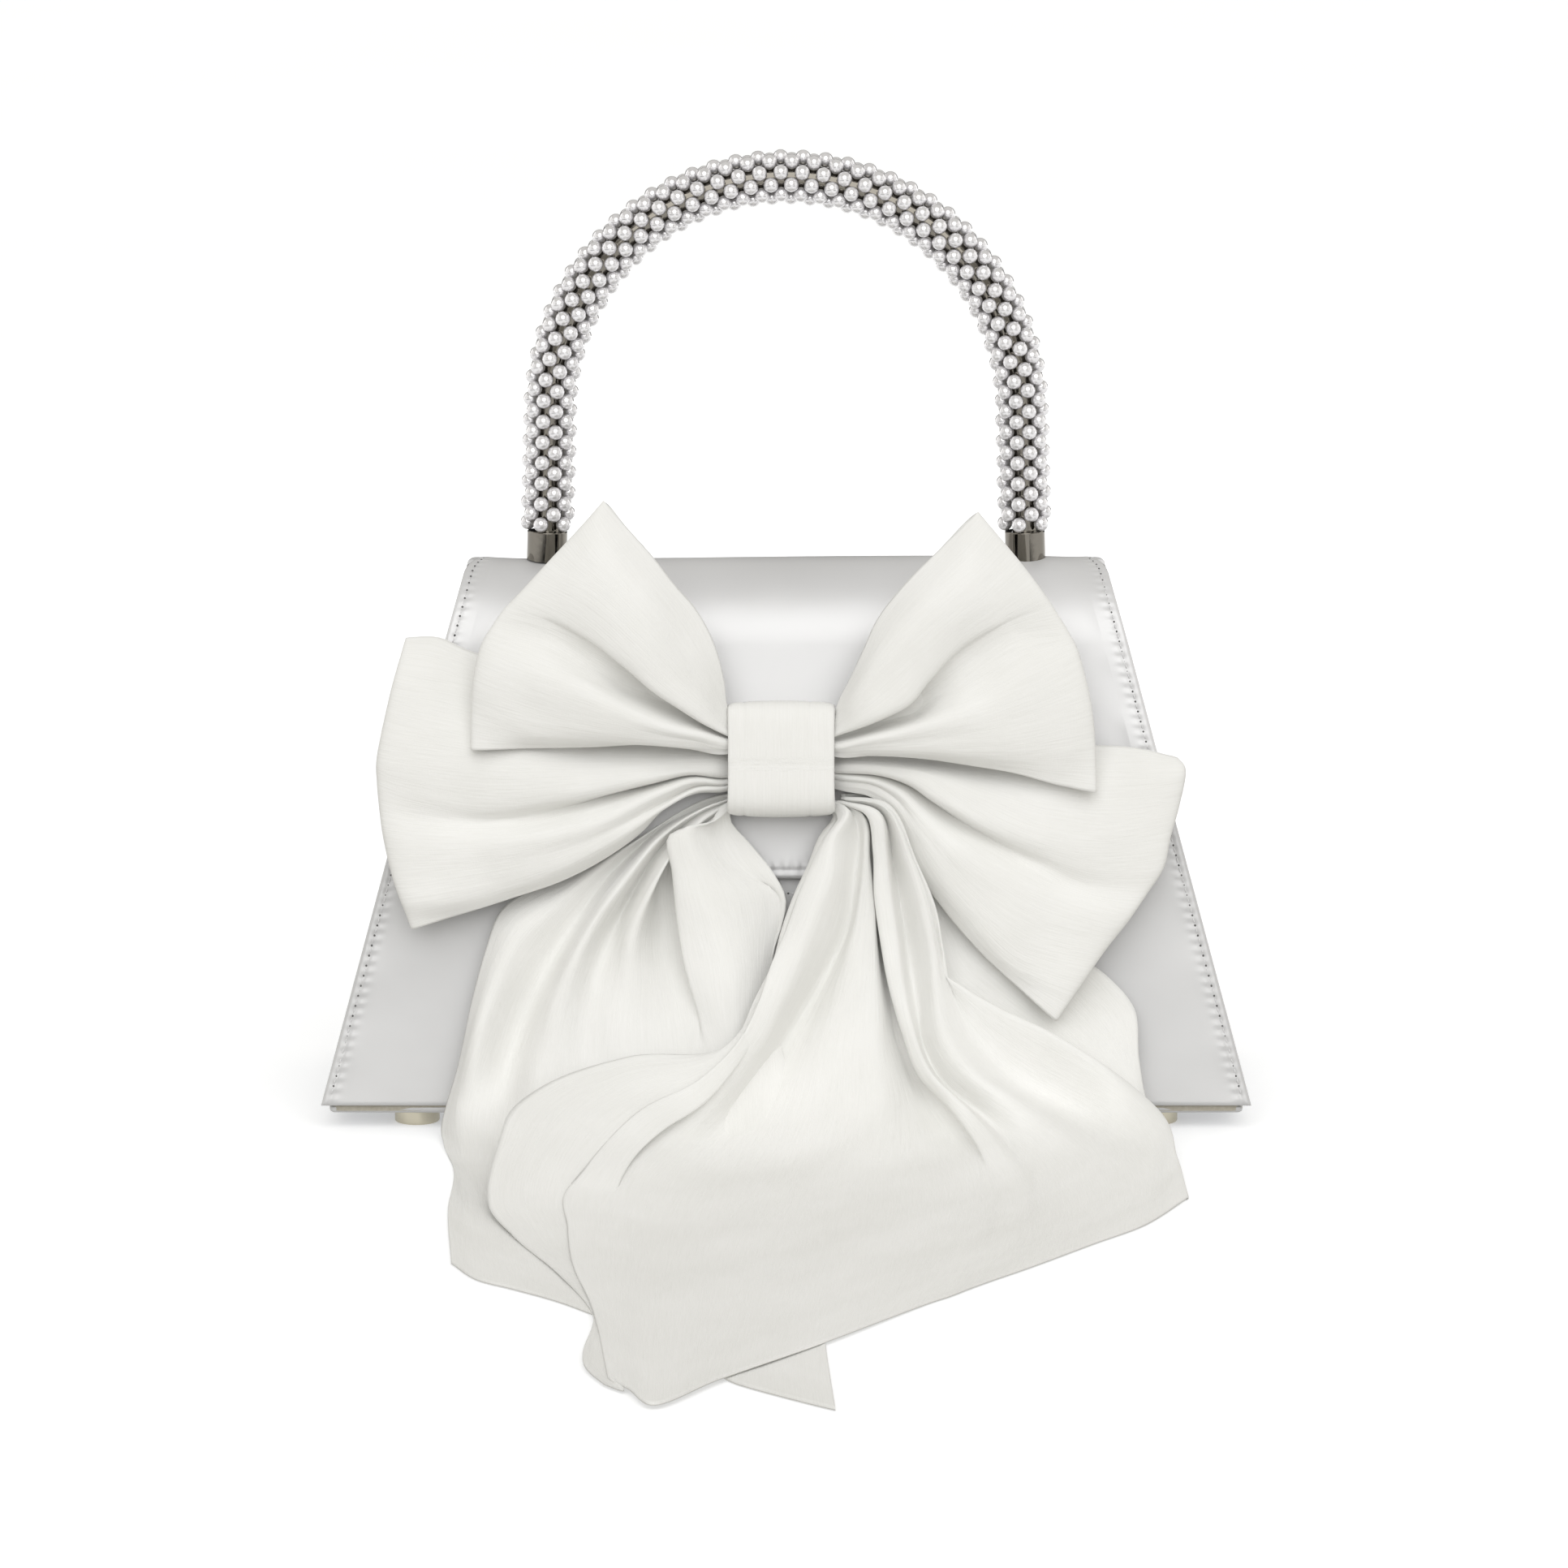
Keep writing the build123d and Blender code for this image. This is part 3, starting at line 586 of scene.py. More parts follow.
def binding(name, rim, inner, drop, body):
    """Satin turned over a board's edge: from just outside `rim`, over it to `inner`, and down inside."""
    rim, inner, drop = np.asarray(rim, float), np.asarray(inner, float), np.asarray(drop, float)
    across = inner - rim
    rows = [rim + drop * 0.6 - across * 0.02, rim - drop * 0.02, rim + across * 0.08 - drop * 0.1,
            rim + across * 0.5 - drop * 0.14, rim + across * 0.92 - drop * 0.1, inner - drop * 0.02,
            inner + drop + across * 0.06]
    net = spline(np.array(rows), np.linspace(0, 1, len(rows)), np.linspace(0, 1, 25)).transpose(1, 0, 2)
    piece = grid_object(name, net)
    thicken(piece, 0.25, levels=0)
    return finish_piece(piece, body, SHADED_BODY_SATIN)


def gusset_binding(name, side):
    """Satin turned over the round top of an end wall."""
    turn = np.linspace(-LEAN * 0.4, math.pi + LEAN * 0.4, 90)
    points = {}
    outline = (("rim", GUSSET_IN + 0.1, GUSSET_FRONT + 0.1),
               ("inner", BINDING_IN, GUSSET_FRONT + 0.1),
               ("low", BINDING_IN, GUSSET_FRONT - 3.0))
    for kind, in_from_end, radius in outline:
        z = CROWN_Z + radius * np.sin(turn)
        points[kind] = np.stack([side * (half_width(z) - in_from_end), -radius * np.cos(turn), z], axis=-1)
    return binding(name, points["rim"], points["inner"], points["low"] - points["inner"], "bag")


def front_binding():
    """Satin turned over the front wall's top edge."""
    x = np.linspace(-1, 1, 160) * (half_width(MOUTH_Z) - 0.4)
    ones = np.ones_like(x)
    rim = np.stack([x, -face_y(MOUTH_Z, FRONT_REACH) * ones, MOUTH_Z * ones], axis=-1)
    inner = rim + (0, 2.25 / math.cos(LEAN), -0.2)
    return binding("front_binding", rim, inner, np.array([0, -0.6, -3.0]), "bag")


def base_piece():
    """The satin-covered base: a shallow tray with rounded corners and rolled edges."""
    low, high = box_mm("base_panel")
    middle_y, depth = (low[1] + high[1]) / 2 - BAG_Y, high[1] - low[1]
    half_x, half_y, corner = high[0], depth / 2, 4.0
    levels = [(0.5, high[2] - 0.05), (0.05, high[2] - 0.4), (0.0, high[2] - 0.9), (0.25, low[2] + 0.45),
              (0.9, low[2] + 0.1), (1.8, low[2])]
    levels += [(inset, low[2]) for inset in np.linspace(2.6, half_y, 60)]
    turn = np.linspace(0, 2 * math.pi, 400, endpoint=False)
    rings = []
    for inset, z in levels:
        round_off = max(corner - inset, 0.3)
        reach_x, reach_y = half_x - inset - round_off, max(half_y - inset - round_off, 0.0)
        spread_x = np.clip(np.cos(turn) * half_x * 1.4, -reach_x, reach_x)
        spread_y = np.clip(np.sin(turn) * half_y * 1.4, -reach_y, reach_y)
        squeeze = min(round_off, half_y - inset)
        x = spread_x + squeeze * np.cos(turn)
        y = middle_y + spread_y + squeeze * np.sin(turn)
        rings.append(np.stack([x, y, np.full_like(turn, z)], axis=-1))
    grid = np.array(rings).transpose(1, 0, 2)
    grid[..., 2] += 0.15 * np.abs(small_waves(grid, 22.0, 8.0)) * ramp(np.arange(len(levels)) / 12)
    piece = grid_object("base_satin", grid, wrap_rows=True, flip=True)
    return finish_piece(piece, "bag", SHADED_BODY_SATIN, ["base_panel"])


def lining_piece():
    """The inner bag: soft walls from the mouth down to a flat floor, with round tops at the ends."""
    front_reach, back_reach, end_in = FRONT_REACH - 2.2, CROWN_RADIUS - 2.2, 2.85
    floor_z = box_mm("lining")[0][2] + LINING_THICKNESS
    turn = np.linspace(0, 2 * math.pi, 480, endpoint=False)
    across = np.clip(1.25 * np.cos(turn), -1, 1)
    deep = np.clip(1.25 * np.sin(turn), -1, 1)
    end_wall = np.abs(across) > 0.999
    walls = []
    for share in np.concatenate([np.linspace(0, 1, 110), [1.0]]):
        low_z = np.full_like(turn, floor_z + share * (SHOULDER_Z - floor_z))
        y = np.where(deep < 0, deep * face_y(low_z, front_reach), deep * face_y(low_z, back_reach))
        arc = CROWN_Z + np.sqrt(np.maximum((front_reach - 0.3) ** 2 - y**2, 0)) - SHOULDER_Z
        rise = np.where(end_wall & (np.abs(y) < front_reach - 0.3), arc, 0) * ramp((share - 0.5) / 0.5)
        z = low_z + rise
        walls.append(np.stack([across * (half_width(z) - end_in), y, z], axis=-1))
    walls = np.array(walls[::-1])
    sag = np.abs(small_waves(walls, 24.0, 12.0)) * 1.6
    sag *= np.sin(np.linspace(0, math.pi, len(walls)))[:, None]
    inner = (walls - (0, 1.5, 0)) * (1, 1, 0)
    inner /= np.maximum(np.linalg.norm(inner * (0.35, 1, 0), axis=-1, keepdims=True), 1e-6)
    walls -= inner * (0.35, 1, 0) * sag[..., None]
    floor = [walls[-1] * (share, share, 1) for share in np.linspace(0.98, 0, 40)]
    grid = np.concatenate([walls, floor]).transpose(1, 0, 2)
    piece = grid_object("inner_bag", grid, wrap_rows=True)
    thicken(piece, LINING_THICKNESS, levels=0)
    return finish_piece(piece, "bag", LINING_CLOTH, ["lining"])


HINGE_DEPTH = 0.3            # the hinge strip stands this far outside the back face


def hinge_strip(name, reach, low_z, high_z, inset, material):
    """Cloth that crosses the hinge, with a shallow groove along the hinge line."""
    z = np.linspace(low_z, high_z, 61)[:, None] * np.ones(140)
    x = np.linspace(-1, 1, 140) * (half_width(z) - inset)
    edges = np.minimum(np.minimum(z - low_z, high_z - z), half_width(z) - inset - np.abs(x))
    out = 0.5 * turned_edge(edges) - 0.12 * np.exp(-(((z - MOUTH_Z) / 0.9) ** 2))
    out += 0.12 * small_waves(np.stack([x, z, 0 * z], axis=-1), 9.0, 15.0) * ramp(edges / 3)
    points = np.stack([x, face_y(z, reach + HINGE_DEPTH) + out, z], axis=-1)
    piece = grid_object(name, points, flip=True)
    thicken(piece, 0.3, levels=0)
    bpy.context.view_layer.objects.active = piece
    bpy.ops.object.modifier_apply(modifier="thickness")
    piece.data.materials.append(material)
    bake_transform(piece)


def make_shell():
    front_binding()
    body_panel("front_panel", FRONT_REACH, -1, MOUTH_Z)
    body_panel("back_panel", CROWN_RADIUS, 1, HINGE_BODY_Z)
    for name, side in (("left", -1), ("right", 1)):
        gusset_binding(name + "_binding", side)
        gusset_piece(name + "_gusset", side)
    base_piece()
    lining_piece()
    flap_piece()
    flap_lining_piece()
    hinge_strip("hinge_fold", CROWN_RADIUS, MOUTH_Z - 6, MOUTH_Z + 6, 0.15, SHADED_BODY_SATIN)
    hinge_strip("hinge_lining", CROWN_RADIUS - 3.3, MOUTH_Z - 5, MOUTH_Z + 6, 3.0, LINING_CLOTH)


# ---- stitching ----
THREAD = (0.62, 0.17, 0.15)  # half of a stitch's length, width and height
# Each needle hole is drawn as a near-black mark of painted shade, sunk a little into the satin.
HOLE = (0.27, 0.24, 0.12)    # the same for a needle hole


def stitch_row(places, directions, normals):
    """Points and faces of a run of stitches: a raised thread and, for each needle hole, a dark mark of
    painted shade.
    """
    bead = bmesh.new()
    bmesh.ops.create_icosphere(bead, subdivisions=2, radius=1.0)
    shape = np.array([v.co for v in bead.verts])
    shape_faces = [[v.index for v in f.verts] for f in bead.faces]
    bead.free()
    points, faces, slots = [], [], []
    for place, ahead, normal in zip(places, directions, normals):
        side = np.cross(normal, ahead)
        # slot 1 is the needle hole: near-black painted shade, sunk a little into the satin
        for slot, (centre, size) in enumerate(((place, THREAD), (place + ahead * STITCH / 2, HOLE))):
            lift = 0.02 if slot == 0 else -0.02
            faces += [[i + len(points) * len(shape) for i in face] for face in shape_faces]
            slots += [slot] * len(shape_faces)
            axes = np.stack([ahead * size[0], side * size[1], normal * size[2]])
            points.append(shape @ axes + centre + normal * lift)
    return np.concatenate(points), faces, slots


def stitches(name, body, surface, path):
    """Stitches along a path of surface coordinates; `surface` gives a point and normal."""
    path = np.asarray(path, float)
    coarse = curve_at(path, np.linspace(0, 1, 400))
    spots = np.array([surface(*p)[0] for p in coarse])
    run = np.concatenate([[0], np.cumsum(np.linalg.norm(np.diff(spots, axis=0), axis=1))])
    marks = np.arange(STITCH, run[-1] - STITCH / 2, STITCH)
    share = np.interp(marks, run, np.linspace(0, 1, 400))
    here, ahead = curve_at(path, share), curve_at(path, share + 0.002)
    places = np.array([surface(*p)[0] for p in here])
    normals = np.array([surface(*p)[1] for p in here])
    directions = np.array([surface(*p)[0] for p in ahead]) - places
    directions /= np.linalg.norm(directions, axis=1)[:, None]
    points, faces, slots = stitch_row(places, directions, normals)
    piece = add_object(name, points, faces)
    piece.data.materials.append(SATIN_CLOTH)
    # the needle holes' near-black painted shade
    piece.data.materials.append(NEEDLE_HOLE_PAINTED_SHADE)
    piece.data.polygons.foreach_set("material_index", slots)
    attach(piece, body)
    return piece


def panel_surface(reach, side):
    def surface(x, z):
        y = side * face_y(z, reach)
        normal = np.array([0, side * math.cos(LEAN), math.sin(LEAN)])
        return np.array([x, y, z]) - normal * 0.12, normal
    return surface


def flap_surface(x, along):
    _, _, normal = flap_profile(along)
    normal = np.array([0, normal[0], normal[1]])
    return flap_point(x, along, 0.0) - normal * 0.12, normal


def sew_everything():
    for side, name in ((-1, "left"), (1, "right")):
        low, high = half_width(BASE_Z) - SEAM_IN, half_width(MOUTH_Z) - SEAM_IN
        for panel, reach, facing in (("front", FRONT_REACH, -1), ("back", CROWN_RADIUS, 1)):
            line = [(side * low, BASE_Z + 1), (side * high, MOUTH_Z - 1)]
            stitches(f"{panel}_{name}_stitches", "bag", panel_surface(reach, facing), line)
    line = []
    for along in np.linspace(1.0, FLAP_LENGTH - (FLAP_CORNER_Z - FLAP_BOTTOM_Z) / math.cos(LEAN), 40):
        _, z, _ = flap_profile(along)
        line.append((-(float(flap_half(z)) - SEAM_IN), along))
    for turn in np.linspace(0.05, 0.95, 9) * math.pi / 2:
        radius = FLAP_CORNER - SEAM_IN
        x = -(FLAP_CORNER_X + radius * math.cos(turn))
        z = FLAP_CORNER_Z - radius * math.sin(turn)
        line.append((x, FLAP_LENGTH - (z - FLAP_BOTTOM_Z) / math.cos(LEAN)))
    mirrored = [(-x, along) for x, along in reversed(line)]
    stitches("flap_stitches", "flap", flap_surface, line + mirrored)


# ---- bow ----
KNOT_FOOT_Z = 84.1           # where the knot's middle meets the flap
KNOT_LEFT = -12.9
KNOT_RIGHT = 10.6
CLOTH = 0.8                  # thickness of the doubled ribbon


# Each loop is a sheet through its fold lines, which run from the knot to the outer fold, top to bottom.
# A point is (x, z, how far it stands in front of the flap).
UPPER_LEFT = {
    "top edge": [(-13.5, 97.5, 13.5), (-14.5, 104.5, 14), (-17, 113.5, 14.5), (-21, 120.5, 14.5),
                 (-25.5, 125.5, 14.5), (-31.5, 133, 14.5), (-36.5, 138.5, 14.5), (-41.5, 144.5, 14.5)],
    "back lobe": [(-13.5, 96, 14.5), (-18.5, 104, 18), (-24.5, 112.5, 20), (-30, 120.5, 20.5),
                  (-37, 128, 20), (-44, 136, 18), (-46, 139.5, 15)],
    "upper lobe": [(-14, 94.5, 15), (-19.5, 101, 19), (-26.5, 109, 21.5), (-34.5, 117, 22),
                   (-44, 125, 20.5), (-51, 128.5, 18), (-54.5, 130.5, 15)],
    "crease lip": [(-14, 92.8, 15), (-19.5, 96, 18), (-25, 99.7, 20), (-30, 103, 20.5), (-36, 108, 20),
                   (-45, 115, 19), (-53.5, 120, 17.5), (-61.5, 123, 15)],
    "crease turn": [(-14, 93.3, 12), (-19.5, 97.5, 12), (-24.5, 102.5, 12), (-28.5, 106, 12.5),
                    (-35, 109, 14), (-44.5, 113.5, 16), (-53.5, 117.5, 16.5), (-64, 120.5, 15)],
    "crease floor": [(-14, 91.5, 12), (-19.5, 94.3, 12), (-24.5, 97.5, 11.5), (-29.5, 100, 11.5),
                     (-36, 102.5, 12.5), (-45, 108, 14.5), (-54.5, 113.5, 16), (-66.5, 117, 15)],
    "lower lobe": [(-14, 91, 15), (-19.5, 93, 17.5), (-26.5, 95, 19), (-36, 99, 20), (-46, 103.5, 20.5),
                   (-58, 107.5, 19.5), (-69.5, 111.5, 15)],
    "lower face": [(-13.5, 89.5, 14.5), (-21, 91.5, 17), (-30, 93, 18.5), (-43, 95.5, 19.5),
                   (-56.5, 98.5, 19), (-71, 103, 15)],
    "bottom face": [(-13.5, 89, 14), (-22, 90, 16), (-33.5, 91, 17), (-47.5, 92, 17.5), (-61.5, 93, 17),
                    (-71.5, 95.5, 14.5)],
    "bottom edge": [(-13.5, 88, 13.5), (-22, 89.5, 14.5), (-31.5, 90.5, 15), (-45, 90, 15),
                    (-59, 89.5, 14.5), (-71.5, 89, 14)],
}
UPPER_RIGHT = {
    "top edge": [(11, 96, 13.5), (12, 99, 14), (15, 105, 14.5), (18, 111.5, 14.5), (21, 118, 14.5),
                 (26.5, 125, 14.5), (35, 133.5, 14.5), (43.5, 142, 14.5)],
    "back lobe": [(11, 95, 14.5), (15, 101.5, 18), (21, 110, 20), (27.5, 118, 20.5), (34.5, 125, 20),
                  (43, 132.5, 18), (47.5, 137.5, 15)],
    "upper lobe": [(11.5, 94, 15), (16, 99, 19), (23, 106.5, 21), (30, 113, 21.5), (38, 119.5, 20.5),
                   (46.5, 125.5, 18.5), (53, 131, 15)],
    "crease lip": [(11.5, 92.5, 15), (17.5, 95, 18), (23, 97.5, 19.5), (27.8, 100, 20),
                   (32.5, 105.5, 19.5), (39.5, 113, 18.5), (48.5, 118.5, 17.5), (58, 124.5, 15)],
    "crease turn": [(11.5, 93, 12), (17.5, 96.5, 12), (23, 100, 12), (27.5, 103, 12.5), (33, 106.5, 14.5),
                    (41, 112, 16), (50.5, 117.5, 16.5), (60.5, 121, 15)],
    "crease floor": [(11.5, 91, 12), (18, 93, 12), (24.5, 95.3, 11.5), (29.5, 97, 11.5),
                     (35.5, 101.5, 13), (43, 107.5, 15), (53.5, 114, 16), (64, 115.5, 15)],
    "lower lobe": [(11.5, 90, 15), (18.5, 92, 17.5), (26.5, 94, 18.5), (34.5, 96.5, 19), (44, 99.5, 19),
                   (54.5, 104, 18.5), (66.5, 110, 15)],
    "lower face": [(11, 89, 14.5), (18.5, 90.5, 17), (29, 91.5, 18), (40.5, 93, 18.5), (53, 95, 18.5),
                   (69, 99.5, 15)],
    "bottom face": [(11, 88.5, 14), (19.5, 89, 16), (30, 89, 17), (43, 88.5, 17.5), (56.5, 88.5, 17),
                    (70, 90.5, 14.5)],
    "bottom edge": [(11, 87.5, 13.5), (19.5, 88, 14.5), (29, 87.5, 14.5), (40.5, 86, 14.5),
                    (52, 84, 14.5), (62.5, 81, 14), (70.5, 79.5, 14)],
}
LOWER_LEFT = {
    "top edge": [(-13.5, 87, 8), (-27, 93, 6), (-44.5, 100, 6), (-62, 106.5, 6.5), (-73.5, 110, 7),
                 (-80.5, 113, 7.5), (-87, 113, 8)],
    "upper face": [(-13.5, 86.5, 8.5), (-27, 90, 7), (-44.5, 94.5, 7), (-61.5, 99, 8.5), (-75.5, 103, 10),
                   (-89, 105.5, 8.5)],
    "top ridge": [(-13.5, 86, 10), (-24.5, 86.5, 10.5), (-38.5, 87, 11), (-55.5, 89, 12), (-73, 93, 12),
                  (-91, 97, 8.5)],
    "ridge face": [(-13.5, 84, 10.5), (-24.5, 84.5, 11.5), (-36, 84, 12.5), (-50, 83.5, 13),
                   (-69.5, 84, 13), (-93, 86.5, 8.5)],
    "crease lip": [(-13.5, 82.5, 10), (-22, 83.3, 11), (-31.5, 81.5, 12), (-40.5, 79.5, 12),
                   (-52, 77.5, 12), (-71, 76, 12), (-93, 81, 8.5)],
    "crease floor": [(-13.5, 81.5, 7.5), (-22, 82, 7), (-31, 80, 6.5), (-41, 77.5, 6.5), (-50, 75, 7.5),
                     (-69.5, 72, 10), (-92.5, 75.5, 8.5)],
    "low ridge": [(-13.5, 81, 10), (-21, 81.5, 11), (-29, 79, 12), (-38.5, 75, 12.5), (-50, 71, 13),
                  (-68.5, 68, 12.5), (-91.5, 68.5, 8.5)],
    "small crease": [(-13.5, 80.2, 8.5), (-20, 80, 8.5), (-28, 76.5, 9.5), (-36, 72.5, 11),
                     (-48.5, 67, 12), (-67.5, 62.5, 12), (-89.5, 60, 8.5)],
    "low face": [(-13.5, 79.7, 9.5), (-20, 79.3, 10), (-27.5, 75.8, 11), (-36, 70, 11), (-50, 62.5, 11),
                 (-66, 57, 10.5), (-87, 53, 8.5)],
    "bottom edge": [(-13.5, 79, 8), (-20.5, 78.5, 8), (-28, 75, 8), (-33.5, 69.5, 8), (-40.5, 64.5, 8),
                    (-51, 59, 8), (-64, 54.5, 8), (-75.5, 51, 8), (-85.5, 48, 8)],
}
LOWER_RIGHT = {
    "top edge": [(11, 86, 8), (27, 86, 6), (43, 87.5, 6), (60.5, 88.5, 6.5), (71, 88.5, 7),
                 (80.5, 88, 7.5), (89.5, 86, 8)],
    "upper face": [(11, 85.5, 8.5), (27, 85.5, 7.5), (43, 84, 8.5), (60.5, 82.5, 9.5), (75.5, 82.5, 10),
                   (91, 83.5, 8.5)],
    "top ridge": [(11.5, 85, 10), (24.5, 85, 11), (33.5, 83.5, 12.5), (45.5, 79.5, 12.5), (60.5, 75, 12),
                  (75.5, 73.5, 11.5), (89.5, 75.5, 8.5)],
    "ridge face": [(11.5, 84.5, 10.5), (24.5, 84, 12), (32.5, 82.5, 13.5), (38.5, 78.5, 13.5),
                   (47.5, 73, 13), (60.5, 68, 12.5), (73, 66.5, 11.5), (87.5, 68.5, 8.5)],
    "crease lip": [(11.5, 83.5, 10), (22, 83, 11), (29, 81, 12.5), (33.5, 78, 13), (39.5, 74.5, 13),
                   (46.5, 70.5, 12), (58, 65.5, 11.5), (71, 61.5, 11), (86, 62, 8.5)],
    "crease floor": [(11.5, 82.8, 7.5), (22, 82, 7), (29, 79.3, 6.5), (33, 76.5, 6.5), (39, 72.5, 7),
                     (46, 68.5, 8), (56, 63, 9.5), (68.5, 57.5, 10), (82.5, 56.5, 8.5)],
    "low ridge": [(11.5, 82.3, 9.5), (21, 81, 10), (26.5, 78.5, 10.5), (31.5, 74, 11), (37, 69, 12),
                  (46.5, 62.5, 13), (58, 56.5, 12.5), (78, 50.5, 8.5)],
    "middle face": [(11.5, 81.5, 9), (21, 80, 9), (25.5, 77, 9.5), (30, 71, 11), (36, 63.5, 12),
                    (45, 54.5, 12.5), (55.5, 47.5, 12), (72.5, 43.5, 8.5)],
    "low face": [(11, 80.5, 8.5), (20, 79, 9), (25, 75.8, 9.5), (28.7, 69.5, 10), (33, 61.5, 10.5),
                 (42, 51, 11), (52, 40.5, 10.5), (66.5, 35, 8.5)],
    "bottom edge": [(11, 79.5, 8), (19.5, 77.5, 8), (24, 75, 8), (26.5, 69.5, 8), (28.7, 63, 8),
                    (34.5, 54.5, 8), (43, 44.5, 8), (53, 35, 8), (61.5, 27.5, 8)],
}


def spaced(lines, samples=200):
    """Shares of the way across a sheet for its fold lines, further apart where the lines are."""
    net = np.array([curve_at(line, np.linspace(0, 1, samples)) for line in lines])
    spans = np.sqrt(np.linalg.norm(np.diff(net, axis=0), axis=2).mean(axis=1))
    return np.concatenate([[0], np.cumsum(spans)]) / spans.sum()


def small_waves(grid, size, seed):
    """A smooth random value between about -1 and 1 for each point of a grid."""
    points = grid.reshape(-1, 3) / size + (0, 0, seed)
    return np.array([noise.noise(Vector(p)) for p in points]).reshape(grid.shape[:2])


def folded_loop(name, shape, gather, back_level, seed, columns=120):
    """A flattened ribbon loop: front layer out from the knot, round the fold, and back behind."""
    lines, folds = [], []
    for i, front in enumerate(shape.values()):
        front = [np.array(p, float) for p in front]
        share = i / (len(shape) - 1)
        depth = ramp(min(share, 1 - share) * 4)
        start = np.array([*gather, 0.5 * front[0][2] + 0.5 * back_level])
        last, ahead = front[-1], front[-1] - front[-2]
        inward = ahead[:2] / np.linalg.norm(ahead[:2])
        turn = np.array([*(last[:2] - 0.9 * inward), last[2] - 1.3])
        behind = []
        for point in front[-2::-1]:
            level = point[2] + (back_level - point[2]) * depth - 1.5 * (1 - depth)
            behind.append(np.array([point[0], point[1], min(level, last[2] - 1.5)]))
        path = [start, *front, turn, *behind, start + (0, 0, -3.0)]
        line = np.array([on_flap(*p) for p in path])
        steps = np.linalg.norm(np.diff(line, axis=0), axis=1)
        folds.append(steps[:len(front)].sum() / steps.sum())
        lines.append(line)
    front_rows = 1 - (1 - np.linspace(0, 1, 80)) ** 1.4
    back_rows = np.linspace(0, 1, 45)[1:] ** 1.4
    net = [curve_at(line, np.concatenate([front_rows * fold, fold + back_rows * (1 - fold)]))
           for line, fold in zip(lines, folds)]
    net = np.array(net)
    grid = spline(net, spaced(lines), np.linspace(0, 1, columns)).transpose(1, 0, 2)
    rise = np.concatenate([np.sin(np.pi * front_rows), 0.5 * np.sin(np.pi * back_rows)])
    grid[..., 1] -= 0.7 * small_waves(grid, 13.0, seed) * rise[:, None]
    piece = grid_object(name + "_ribbon", grid, flip=gather[0] > 0)
    thicken(piece, CLOTH, levels=0)
    return finish_piece(piece, "flap", BOW_CLOTH, [name])


def knot_piece():
    """The cloth band round the middle of the bow: soft corners, and a slight crown across it."""
    height, depth, squareness = 23.6, 16.0, 4.5
    turn = np.linspace(0, 2 * math.pi, 120, endpoint=False)
    ring_up = np.sign(np.sin(turn)) * np.abs(np.sin(turn)) ** (2 / squareness) * height / 2
    ring_out = np.sign(np.cos(turn)) * np.abs(np.cos(turn)) ** (2 / squareness) * depth / 2
    across = np.linspace(-1, 1, 61)
    swell = 0.35 * (1 - across**2) - 0.3 * np.abs(across) ** 20
    folds = -0.16 * np.exp(-(((across + 0.72) / 0.05) ** 2))
    folds -= 0.12 * np.exp(-(((across - 0.55) / 0.05) ** 2))
    grow = 1 + (swell + folds)[None] / 8
    up = ring_up[:, None] * grow
    out = np.maximum(depth / 2 + ring_out[:, None] * grow, 0.5)
    x = (KNOT_LEFT + KNOT_RIGHT) / 2 + across[None] * (KNOT_RIGHT - KNOT_LEFT) / 2 * np.ones_like(up)
    y = -face_y(KNOT_FOOT_Z, CROWN_RADIUS) + up * math.sin(LEAN) - out * math.cos(LEAN)
    points = np.stack([x, y, KNOT_FOOT_Z + up * math.cos(LEAN) + out * math.sin(LEAN)], axis=-1)
    piece = grid_object("knot_ribbon", points, wrap_rows=True, flip=True)
    thicken(piece, 1.0, levels=0, offset=-1.0)
    return finish_piece(piece, "flap", BOW_CLOTH, ["knot_band", "gather_core"])


def make_loops():
    folded_loop("lower_loop_left", LOWER_LEFT, (-8, 83), 4.0, 3.0)
    folded_loop("lower_loop_right", LOWER_RIGHT, (6, 83), 4.0, 4.0)
    folded_loop("upper_loop_left", UPPER_LEFT, (-8, 90), 11.5, 1.0)
    folded_loop("upper_loop_right", UPPER_RIGHT, (6, 90), 11.5, 2.0)


# ---- tails ----
TAIL_CLOTH = 0.45
LEFT_GATHER = (-9, -36, 78)
RIGHT_GATHER = (7.5, -37, 78)
